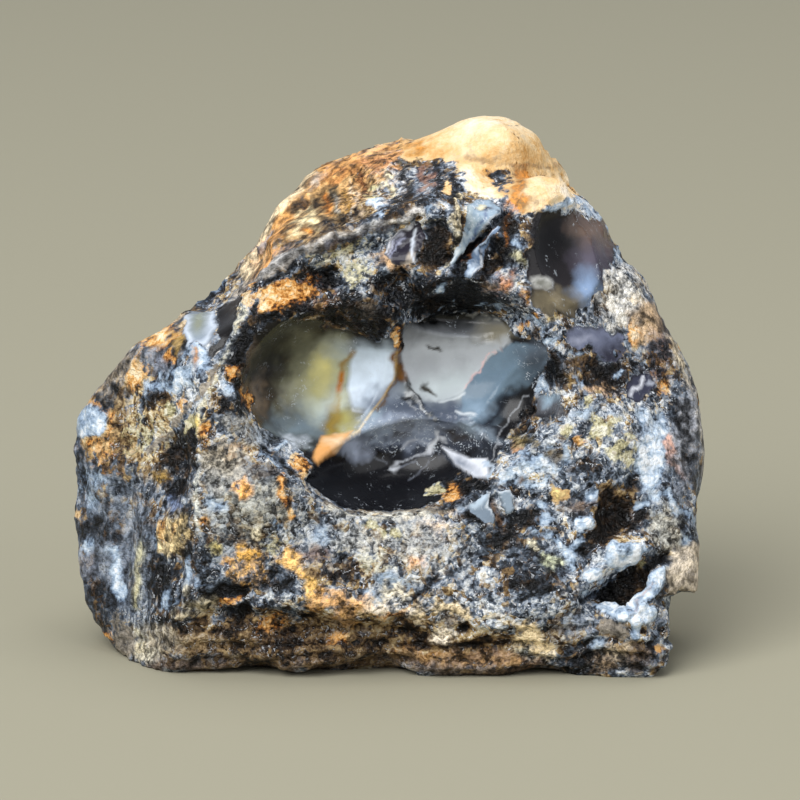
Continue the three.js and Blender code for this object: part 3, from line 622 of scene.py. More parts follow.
    Vein("orange streak by smoky face", G, "#a8661f", 2, 2, ((509, 212), (507, 230), (508, 246)), 2.6),
    Blot("blue-white by smoky face", M, 1, 3, 3, (518, 244), (7, 8)),
    Blot("olive by smoky face", G, "#a9a27c", 4, 3, (520, 258), (8, 8)),
    Blot("tan by smoky face", G, "#8a6b48", 6, 5, (490, 288), (12, 9), strength=0.9),
    Blot("orange by smoky face", G, "#cd8548", 4, 5, (507, 286), (9, 13), 20),
    Vein("dark line of that orange", G, "#4f241c", 1.6, 2, ((512, 278), (517, 290), (521, 302)), 1.4),
    Blot("amber by that line", G, "#c88a2c", 3, 3, (526, 296), (4, 7)),
    Patch("smoky face", O, "#2a2629", 3, 3, ((529, 222), (546, 211), (576, 212), (604, 222), (614, 246),
        (606, 272), (602, 290), (588, 304), (568, 318), (545, 312), (531, 296), (527, 254))),
    Blot("black of smoky face", T, "#0d0c0e", 14, 3, (548, 240), (22, 32), -10),
    Blot("brown of smoky face", T, "#80695c", 13, 3, (594, 230), (18, 14), -30),
    Blot("violet of smoky face", T, "#5c5666", 11, 3, (590, 260), (15, 14)),
    Blot("blue glow of smoky face", T, "#8ea6c9", 9, 3, (587, 288), (12, 15), 10),
    Blot("tan foot of smoky face", T, "#9b8e70", 9, 3, (554, 302), (18, 9)),
    Blot("ring grain, rim", T, "#d0d0cc", 1.6, 1, (541, 283), (11, 6), -6, relief=0.15),
    Blot("ring grain, middle", T, "#87877f", 1.6, 1, (541, 283), (7.5, 3.4), -6),
    Blot("brown over smoky face", D, 0.7, 5, 3, (528, 232), (5, 12)),
    Blot("speckle under ridge", P, 0.9, 8, 4, (346, 264), (34, 14), -14),
    Blot("cream under ridge", Y, 0.7, 6, 5, (338, 252), (24, 6), 18),
    Blot("cream speckle under ridge", Y, 0.55, 6, 5, (358, 274), (16, 12)),
    Blot("tan rim of right void", G, "#cba47c", 5, 5, (392, 260), (20, 7), -10),
    Blot("left void", D, 1, 5, 4, (318, 278), (24, 12), -6),
    Blot("right void", D, 1, 5, 3, (398, 292), (28, 20), -6),
    Blot("orange patch under ridge", R, 1, 6, 5, (284, 295), (34, 16), 18, relief=0.2),
    Blot("bright end of patch", P, 1, 5, 4, (262, 302), (9, 9)),
    Blot("rust tail of patch", G, "#8d5a34", 7, 6, (320, 306), (18, 9), -6, strength=0.8),
    Blot("brown over window", W, 0.9, 8, 3, (350, 318), (52, 18)),
    # The dark over the window and the black overhang are painted shadow under the ridge
    Blot("dark over window", D, 0.8, 8, 5, (360, 318), (54, 17)),
    Blot("grey smoke over window", G, "#46423e", 8, 5, (370, 312), (26, 12)),
    Blot("black overhang", D, 1, 7, 3, (442, 298), (58, 20), -3),
    Vein("pale crack of overhang", P, 1, 1.6, 3, ((404, 322), (414, 310), (428, 304)), 1.4),
    Vein("pale crack, middle", M, 0.9, 1.5, 3, ((436, 314), (444, 304), (452, 300)), 1),
    Vein("pale crack, right", M, 0.9, 1.5, 3, ((478, 302), (490, 306), (503, 304)), 1),
    Blot("pale grain under hollow", M, 1, 2, 2, (440, 288), (5, 3), 20),
    Blot("blue-white under face", M, 1, 4, 4, (534, 324), (14, 6), -10),
    Blot("rust under smoky face", R, 1, 2.5, 3, (536, 316), (5, 4)),
    Blot("gold under smoky face", R, 1, 2.5, 3, (522, 325), (4, 3)),
    Blot("ochre under smoky face", G, "#a08a4e", 5, 4, (560, 316), (12, 5)),
)

# The crest between the hollow and the low lobe
ARRIS = ((252, 296), (240, 318), (233, 336), (226, 356), (216, 380), (204, 402), (200, 430), (199, 470), (197, 530))
# The low lobe on the left and the flank below it
LOBE_MARKS: tuple[Mark, ...] = (
    Blot("fibres of flank", F, 0.8, 14, 3, (128, 560), (56, 96), -5),
    Vein("smooth lobe", B, 0.9, 14, 3, ((84, 470), (92, 420), (124, 372), (170, 338), (210, 320)), 18),
    Blot("smooth flank", B, 0.6, 14, 3, (104, 540), (34, 110)),
    Blot("tan-grey of lobe's slope", G, "#a8967c", 12, 6, (120, 376), (36, 18), 50, strength=0.7),
    Blot("fibres of lower arris", F, 1, 8, 3, (166, 600), (30, 60), -14),
    Blot("warmth of lobe", W, 0.6, 14, 6, (132, 430), (44, 44), 10),
    Blot("blue-grey of flank", G, "#6f7784", 18, 8, (120, 548), (48, 72), strength=0.75),
    Blot("cream speckle of lobe", Y, 0.5, 10, 8, (140, 440), (34, 22), 20),
    Blot("rust speckle of lobe", R, 0.44, 10, 8, (112, 446), (16, 26), 10),
    Blot("tan outline of lobe", G, "#cdb48c", 4, 3, (172, 322), (22, 5), 28),
    Blot("orange shoulder", R, 1, 5, 4, (160, 337), (19, 9), 28),
    Blot("bright shoulder", P, 1, 6, 3, (158, 336), (16, 7), 28),
    Blot("olive of shoulder", G, "#9a7b38", 4, 3, (176, 344), (7, 11)),
    Blot("orange under olive", R, 1, 3, 3, (171, 357), (8, 5), -20),
    Vein("black by olive", D, 1, 2.5, 2, ((181, 342), (189, 352)), 2),
    Blot("orange blotch", R, 1, 4, 4, (136, 374), (8, 15), -12),
    Blot("bright blotch", P, 1, 5, 3, (137, 370), (6, 12), -12),
    Blot("pale oval", O, "#8f9db0", 2.5, 1.5, (200, 328), (16, 25), -8, relief=0.15),
    Vein("rim of oval", T, "#dfe9f5", 4, 1.5, ((188, 318), (187, 334), (194, 348), (206, 344), (212, 328),
        (208, 310)), 2.4),
    Blot("green middle of oval", T, "#8f9484", 5, 1, (199, 323), (7, 12), -8),
    Blot("milk under oval", M, 1, 5, 5, (200, 358), (9, 14), 20),
    Blot("orange under oval", G, "#b07a45", 3, 3, (196, 358), (3.5, 8)),
    Blot("blue-grey of lobe", G, "#8a90a0", 5, 3, (158, 362), (9, 16), -10),
    Blot("blue-white streak", M, 1, 4, 4, (168, 384), (24, 10), 24, relief=0.15),
    Blot("white of streak", P, 1, 4, 4, (176, 386), (14, 9), 30),
    Vein("grey line in streak", D, 0.6, 3, 3, ((160, 390), (174, 374)), 2.4),
    Blot("blue-black spot", D, 1, 3, 3, (116, 388), (6, 6)),
    Blot("blue-black blot", D, 1, 4, 3, (154, 400), (13, 6), 8),
    Blot("ochre grain", Y, 1, 3, 3, (170, 409), (8, 6), 20),
    Blot("orange beside grain", R, 1, 3, 3, (183, 403), (5, 8)),
    Vein("rust border", R, 0.9, 2.5, 2, ((91, 398), (100, 406), (112, 417), (112, 432), (103, 445)), 2.4),
    Blot("white patch", M, 1, 2.5, 2, (97, 422), (14, 17), 24, relief=0.2),
    Vein("white rim of patch", P, 1, 4, 2, ((84, 414), (96, 408), (108, 420), (106, 434)), 4),
    Blot("grey strip of edge", G, "#a19fa8", 5, 4, (84, 466), (14, 38), 4),
    Blot("streaks of strip", F, 1, 6, 3, (86, 500), (16, 80)),
    Blot("white of strip", M, 1, 4, 4, (82, 450), (10, 20), 6),
    Blot("lilac foot of strip", M, 0.8, 6, 6, (90, 484), (14, 22)),
    Blot("dark of strip", D, 0.8, 5, 5, (74, 474), (5, 14)),
    Vein("dark streak of strip", D, 0.7, 4, 5, ((86, 440), (90, 462), (88, 486)), 2.5),
    Blot("blue-grey by edge", M, 0.75, 5, 4, (94, 500), (9, 14)),
    Blot("pink-white of edge", C, 0.8, 3.5, 3, (77, 516), (5, 5)),
    Patch("black wedge", O, "#1c1a1b", 2.5, 2, ((212, 302), (240, 287), (252, 292), (240, 310), (230, 334),
        (222, 346), (212, 366), (208, 358), (218, 336))),
    Blot("brown sheen of wedge", T, "#3a322b", 6, 3, (236, 300), (9, 12), -24),
    Vein("arris", P, 1, 3, 2.5, ARRIS, 3, relief=0.3),
    Vein("thread of arris", G, "#bdb79c", 3, 2, ARRIS[:7], 3, strength=0.8),
    Vein("cream arris", G, "#dedfd2", 1.6, 0.8, ((199, 456), (199, 490), (198, 526)), relief=0.25),
    Vein("pale lineation", S, 1, 3, 3, ((214, 366), (200, 396), (178, 420), (150, 452)), 2.6, relief=0.15),
    Vein("bright lineation", P, 1, 3, 3, ((206, 384), (186, 410), (150, 446)), 3),
    Blot("white grains of rim", M, 0.9, 3, 4, (232, 390), (13, 6), -36, relief=0.2),
    Blot("bright grains", P, 1, 4, 3, (232, 390), (14, 8), -36),
    Blot("dark of rim", D, 0.9, 4, 4, (228, 402), (9, 6)),
    Blot("grey-tan of rim", G, "#b3aa98", 10, 6, (222, 462), (24, 22)),
    Blot("grey speckle of rim", G, "#77746c", 6, 5, (236, 420), (16, 14), strength=0.8),
    Blot("yellow-green patch", Y, 1, 3, 2, (193, 430), (10, 18), -26, relief=0.2),
    Blot("gold of patch", G, "#d6b84f", 4, 3, (199, 421), (6, 7)),
    Blot("orange by patch", R, 0.9, 3, 3, (204, 430), (5, 10)),
    Blot("black patch", D, 1, 4, 5, (180, 456), (19, 26), -16),
    Blot("specks of black patch", P, 0.5, 6, 3, (180, 458), (18, 24), -16),
    Blot("ochre fleck", G, "#b08c3e", 3, 3, (157, 478), (8, 9), -40),
    Blot("black under patch", D, 0.9, 4, 4, (178, 488), (12, 10)),
    Blot("blue of arris", G, "#7485a8", 4, 3, (174, 504), (7, 14)),
    Blot("tan lens", G, "#dcc490", 4, 4, (173, 537), (19, 21), -24, relief=0.2),
    Blot("gold of lens", R, 0.6, 5, 5, (165, 530), (9, 10)),
    Vein("pale rim of lens", M, 0.9, 2, 2, ((160, 514), (150, 534), (158, 556), (166, 562)), 1.6),
    Blot("black beside lens", D, 0.9, 4, 4, (186, 552), (7, 12), -30),
    Blot("dark of flank", D, 0.7, 7, 5, (96, 532), (20, 12)),
    Blot("white grains of flank", P, 0.9, 6, 5, (126, 514), (12, 16)),
    Blot("grey of flank's edge", G, "#6a6e79", 7, 5, (88, 566), (14, 22)),
    Blot("grey-violet of edge", M, 0.8, 4, 3, (89, 547), (8, 9)),
    Vein("blue-grey streak", M, 1, 4, 3, ((116, 552), (116, 574), (118, 596)), 6.5),
    Blot("bright streak", P, 0.8, 5, 3, (116, 566), (7, 18)),
    Blot("grey-white grains", P, 1, 4, 3, (102, 572), (7, 9)),
    Vein("olive strip", G, "#bab48d", 3, 2, ((140, 546), (137, 574), (135, 604)), 4),
    Vein("pale strip", P, 1, 3, 2, ((140, 540), (138, 580), (146, 640)), 3),
    Blot("dark smooth foot", D, 0.8, 6, 3, (100, 600), (12, 22), 10),
    Blot("dark fibres", D, 0.8, 6, 4, (160, 578), (14, 22)),
    Blot("blue of lower arris", M, 0.62, 4, 3, (165, 598), (7, 12)),
    Blot("grey foot", S, 0.8, 9, 5, (118, 634), (16, 34), 22),
    Blot("dark of grey foot", D, 0.45, 8, 5, (106, 620), (12, 20), 22),
    Blot("orange spot at foot", R, 1, 3, 3, (106, 638), (5, 7)),
    Vein("pale foot of strip", G, "#bdb59a", 4, 3, ((136, 630), (146, 650)), 4),
    Blot("cream corner", G, "#cfc6ae", 4, 4, (141, 656), (12, 7)),
)

# The speckled slab left of and under the hollow, with the banded foot
FOOT_MARKS: tuple[Mark, ...] = (
    Blot("grey of slab", P, 0.5, 20, 6, (390, 548), (92, 40)),
    Blot("cream-grey of slab", G, "#b0afaa", 18, 10, (386, 546), (78, 30), -6, strength=0.85),
    Blot("pale left slab", G, "#838c98", 16, 8, (244, 508), (48, 54), strength=0.8),
    Blot("grey-green of slab", G, "#8e8c80", 18, 6, (262, 510), (56, 34), strength=0.5),
    Blot("rust of lower rim", R, 0.62, 5, 5, (236, 452), (14, 8)),
    Blot("grey-blue under pocket", G, "#7f8891", 7, 5, (256, 436), (20, 9)),
    Blot("smooth dark band", G, "#4b4e55", 5, 3, (256, 470), (36, 7), -4),
    Vein("white arc", M, 1, 2, 1, ((276, 452), (284, 444), (294, 444), (302, 454)), 2, relief=0.3),
    Blot("bright arc", P, 1, 3, 3, (290, 446), (14, 7)),
    Vein("pale arc beside it", M, 1, 1.8, 1.5, ((260, 452), (272, 458), (284, 472)), 1.2),
    Vein("blade of rim", D, 1, 2.5, 1, ((264, 448), (280, 458), (292, 474)), 2.2),
    Blot("cream by arc", C, 0.8, 3, 2, (294, 458), (7, 5)),
    Blot("orange by arc", R, 1, 3, 3, (300, 466), (12, 6), -26, relief=0.2),
    Blot("orange spot", G, "#eca640", 1.8, 3, (243, 487), (11, 9), relief=0.3),
    Blot("bright spot", P, 1, 4, 3, (246, 488), (9, 7)),
    Blot("brown heart of spot", D, 1, 1.6, 2, (239, 487), (3, 3)),
    Blot("blue-grey beside arris", M, 0.85, 5, 3, (215, 505), (11, 8)),
    Blot("orange end of arris", R, 0.9, 2.5, 2, (203, 521), (5, 3)),
    Vein("orange chain", R, 1, 3, 4, ((281, 480), (282, 494), (292, 508), (294, 516)), 4),
    Blot("black in chain", D, 1, 2, 1.5, (288, 506), (2.5, 4)),
    Blot("white pimple", M, 1, 2, 1, (274, 521), (3, 3), relief=0.2),
    Blot("pale blue pimple", M, 0.9, 2, 2, (279, 527), (4, 4)),
    Blot("yellow nodule", Y, 1, 3, 2, (214, 548), (8, 6), -20, relief=0.3),
    Blot("gold of nodule", G, "#e6cd6c", 3, 3, (214, 548), (5, 4)),
    Blot("dark speckle", D, 0.5, 8, 5, (244, 536), (30, 10)),
    Blot("cream grain over crust", G, "#f1e6c6", 2.5, 2, (257, 536), (7, 8)),
    Blot("cream grains over crust", Y, 0.7, 5, 5, (272, 545), (20, 7)),
    Vein("lilac strip", M, 1, 3, 2, ((188, 546), (188, 566), (187, 584)), 3.4),
    Blot("cream under strip", G, "#e9dfc4", 2.5, 2, (186, 590), (6, 7)),
    Blot("pale blue by strip", M, 0.7, 4, 4, (206, 580), (7, 5)),
    Blot("pale left of bowl", M, 0.62, 7, 5, (324, 534), (13, 15)),
    Blot("brown left of slab", G, "#5d4333", 7, 6, (312, 556), (24, 12), strength=0.8),
    Blot("orange crust", G, "#e2a840", 3, 6, (250, 568), (21, 21), relief=0.4),
    Blot("bright crust", P, 0.7, 6, 5, (250, 566), (18, 18)),
    Blot("gaps of crust", D, 0.5, 4, 9, (256, 572), (20, 18)),
    Blot("orange crust, left", R, 0.62, 4, 5, (228, 562), (10, 6)),
    Vein("orange crust, right", G, "#e6b25c", 3, 5, ((282, 560), (298, 562), (306, 572)), 6, relief=0.3),
    Vein("bright right crust", P, 1, 5, 4, ((284, 560), (304, 566)), 5),
    Blot("orange crust, low", G, "#ecbb66", 3, 4, (311, 590), (9, 12), relief=0.3),
    Blot("bright low crust", P, 1, 4, 3, (310, 594), (8, 7)),
    Blot("hole in crust", D, 0.9, 3, 3, (246, 575), (4, 3)),
    Blot("brown between crusts", D, 0.9, 5, 6, (278, 584), (16, 9)),
    Blot("brown by crust", D, 0.8, 6, 6, (334, 574), (20, 10)),
    Patch("pit under crust", D, 1, 3, 3, ((220, 582), (252, 586), (240, 598), (218, 608), (200, 600),
        (206, 594)), relief=-0.7),
    Blot("lower pit", D, 1, 3.5, 3, (236, 615), (14, 7), 8, relief=-0.6),
    Vein("cream ledge", G, "#eadbb9", 4, 5, ((176, 610), (196, 609), (214, 602)), 5, relief=0.3),
    Blot("gold by ledge", R, 0.8, 3, 4, (228, 602), (9, 5), 20),
    Vein("brown crack of ledge", D, 0.9, 2.5, 3, ((160, 618), (184, 618), (204, 622)), 2.4),
    Vein("white crust over foot", M, 0.85, 3, 4, ((364, 596), (376, 598)), 6),
    Vein("orange ledge", G, "#dda662", 3.5, 5, ((312, 604), (334, 598), (352, 598), (372, 604)), 7, relief=0.3),
    Vein("cream of ledge", G, "#efe0ca", 5, 5, ((374, 604), (400, 610), (416, 612)), 7),
    Vein("bright ledge", P, 1, 4, 4, ((334, 596), (372, 600), (404, 606)), 5),
    Blot("yellow grain of slab", Y, 1, 3, 2, (372, 524), (6, 6)),
    Blot("yellow grain, middle", Y, 1, 3, 2, (384, 533), (4, 6)),
    Blot("yellow grain, right", Y, 1, 3, 2, (396, 534), (5, 5)),
    Blot("peach of slab", G, "#ddc4a8", 8, 8, (442, 524), (22, 9), strength=0.7),
    Blot("cream of slab", Y, 0.5, 10, 6, (376, 560), (30, 14)),
    Blot("peach spot of slab", G, "#dba679", 4, 4, (415, 562), (7, 8), strength=0.9),
    Blot("blue-white lens", M, 0.9, 5, 4, (392, 580), (22, 7), -10),
    Blot("bright lens", P, 1, 4, 3, (400, 583), (10, 6)),
    Blot("cream under lens", G, "#f0e4c9", 5, 5, (392, 592), (16, 8)),
    Vein("dark cracks of slab", D, 0.9, 3, 3, ((386, 548), (396, 562), (404, 573)), 2.6),
    Blot("dark of slab", D, 0.8, 5, 4, (456, 574), (6, 10)),
    Blot("black hole of slab", D, 1, 3, 3, (482, 555), (9, 4), -10, relief=-0.4),
    Vein("brown crack", D, 1, 3, 3, ((438, 582), (424, 594), (404, 606)), 2.6, relief=-0.3),
    Blot("orange-cream crust", R, 0.8, 5, 6, (392, 612), (16, 6), relief=0.2),
    Blot("ochre of foot", G, "#b8894a", 5, 6, (346, 614), (16, 12)),
    Vein("cream crust", G, "#f0d8ab", 4, 5, ((436, 604), (452, 606), (466, 618)), 7, relief=0.25),
    Blot("cream crust, left", G, "#efd9b2", 4, 5, (424, 618), (8, 9)),
    Blot("grey of crust", G, "#6d6a68", 4, 4, (446, 622), (9, 6)),
    Blot("grains right of crust", P, 0.8, 7, 5, (492, 616), (26, 12)),
    # The browns of the foot darken towards the bottom edge, partly as painted shade of the underside
    Blot("brown foot", W, 1, 9, 3, (330, 640), (200, 26), 1),
    Blot("brown stripes of foot", G, "#66533d", 9, 6, (236, 640), (96, 20), 4, strength=0.7),
    Blot("dark brown of foot", G, "#3a2a1c", 9, 6, (330, 638), (80, 18), strength=0.8),
    Blot("dark of foot", D, 0.62, 7, 6, (300, 650), (70, 10)),
    Vein("brown bands", D, 0.78, 4, 5, ((170, 626), (232, 632), (300, 628), (368, 640), (400, 628)), 3.4),
    Vein("pale bands", P, 0.8, 4, 5, ((150, 640), (190, 634), (236, 646)), 3),
    Blot("grey-tan left of bands", G, "#a8a090", 8, 6, (154, 640), (30, 20)),
    Blot("black of bands", D, 0.8, 6, 6, (282, 640), (26, 9)),
    Blot("orange in bands", R, 0.7, 4, 5, (272, 622), (16, 6)),
    Blot("orange spot of foot", R, 1, 3, 3, (338, 640), (8, 4)),
    Blot("white grain of foot", G, "#e6ddc8", 2.5, 2, (234, 657), (5, 4)),
    Vein("black seam over lip", D, 1, 3, 3, ((404, 622), (420, 640), (460, 644), (516, 640)), 3.6),
    Blot("pit of foot", D, 1, 2, 1, (464, 628), (6, 5), relief=-0.7),
    Blot("white-tan lump", G, "#efe2cc", 3, 3, (441, 634), (13, 8), relief=0.35),
    Blot("bright lump", P, 1, 3, 3, (441, 635), (11, 6)),
    Vein("brown lip", G, "#8b6a48", 4, 3, ((410, 656), (460, 658), (500, 656), (540, 662)), 8),
    Vein("amber of lip", G, "#8a5f28", 4, 4, ((402, 650), (424, 652), (440, 654)), 5),
    # Partly painted shade of the underside, on the foot's own brown
    Vein("brown of bottom edge", G, "#5e4a36", 5, 5, ((150, 666), (240, 670), (330, 664), (400, 662), (470, 672),
        (560, 680)), 9, strength=0.95),
    Vein("tan streaks of edge", G, "#a07d55", 3, 5, ((412, 652), (450, 662), (486, 660), (520, 664)), 2.5),
    Vein("dark streaks of edge", G, "#2c2119", 3, 5, ((180, 658), (250, 660), (330, 652), (390, 656)), 2.5),
    Blot("pale lens of lip", G, "#b8b8a6", 3, 2, (528, 652), (13, 5), -24),
    Vein("cream end of lip", G, "#e6cfa4", 4, 5, ((520, 628), (536, 642), (552, 658)), 9, relief=0.25),
    Vein("bright end", P, 1, 5, 4, ((524, 632), (540, 644), (556, 658)), 8),
)

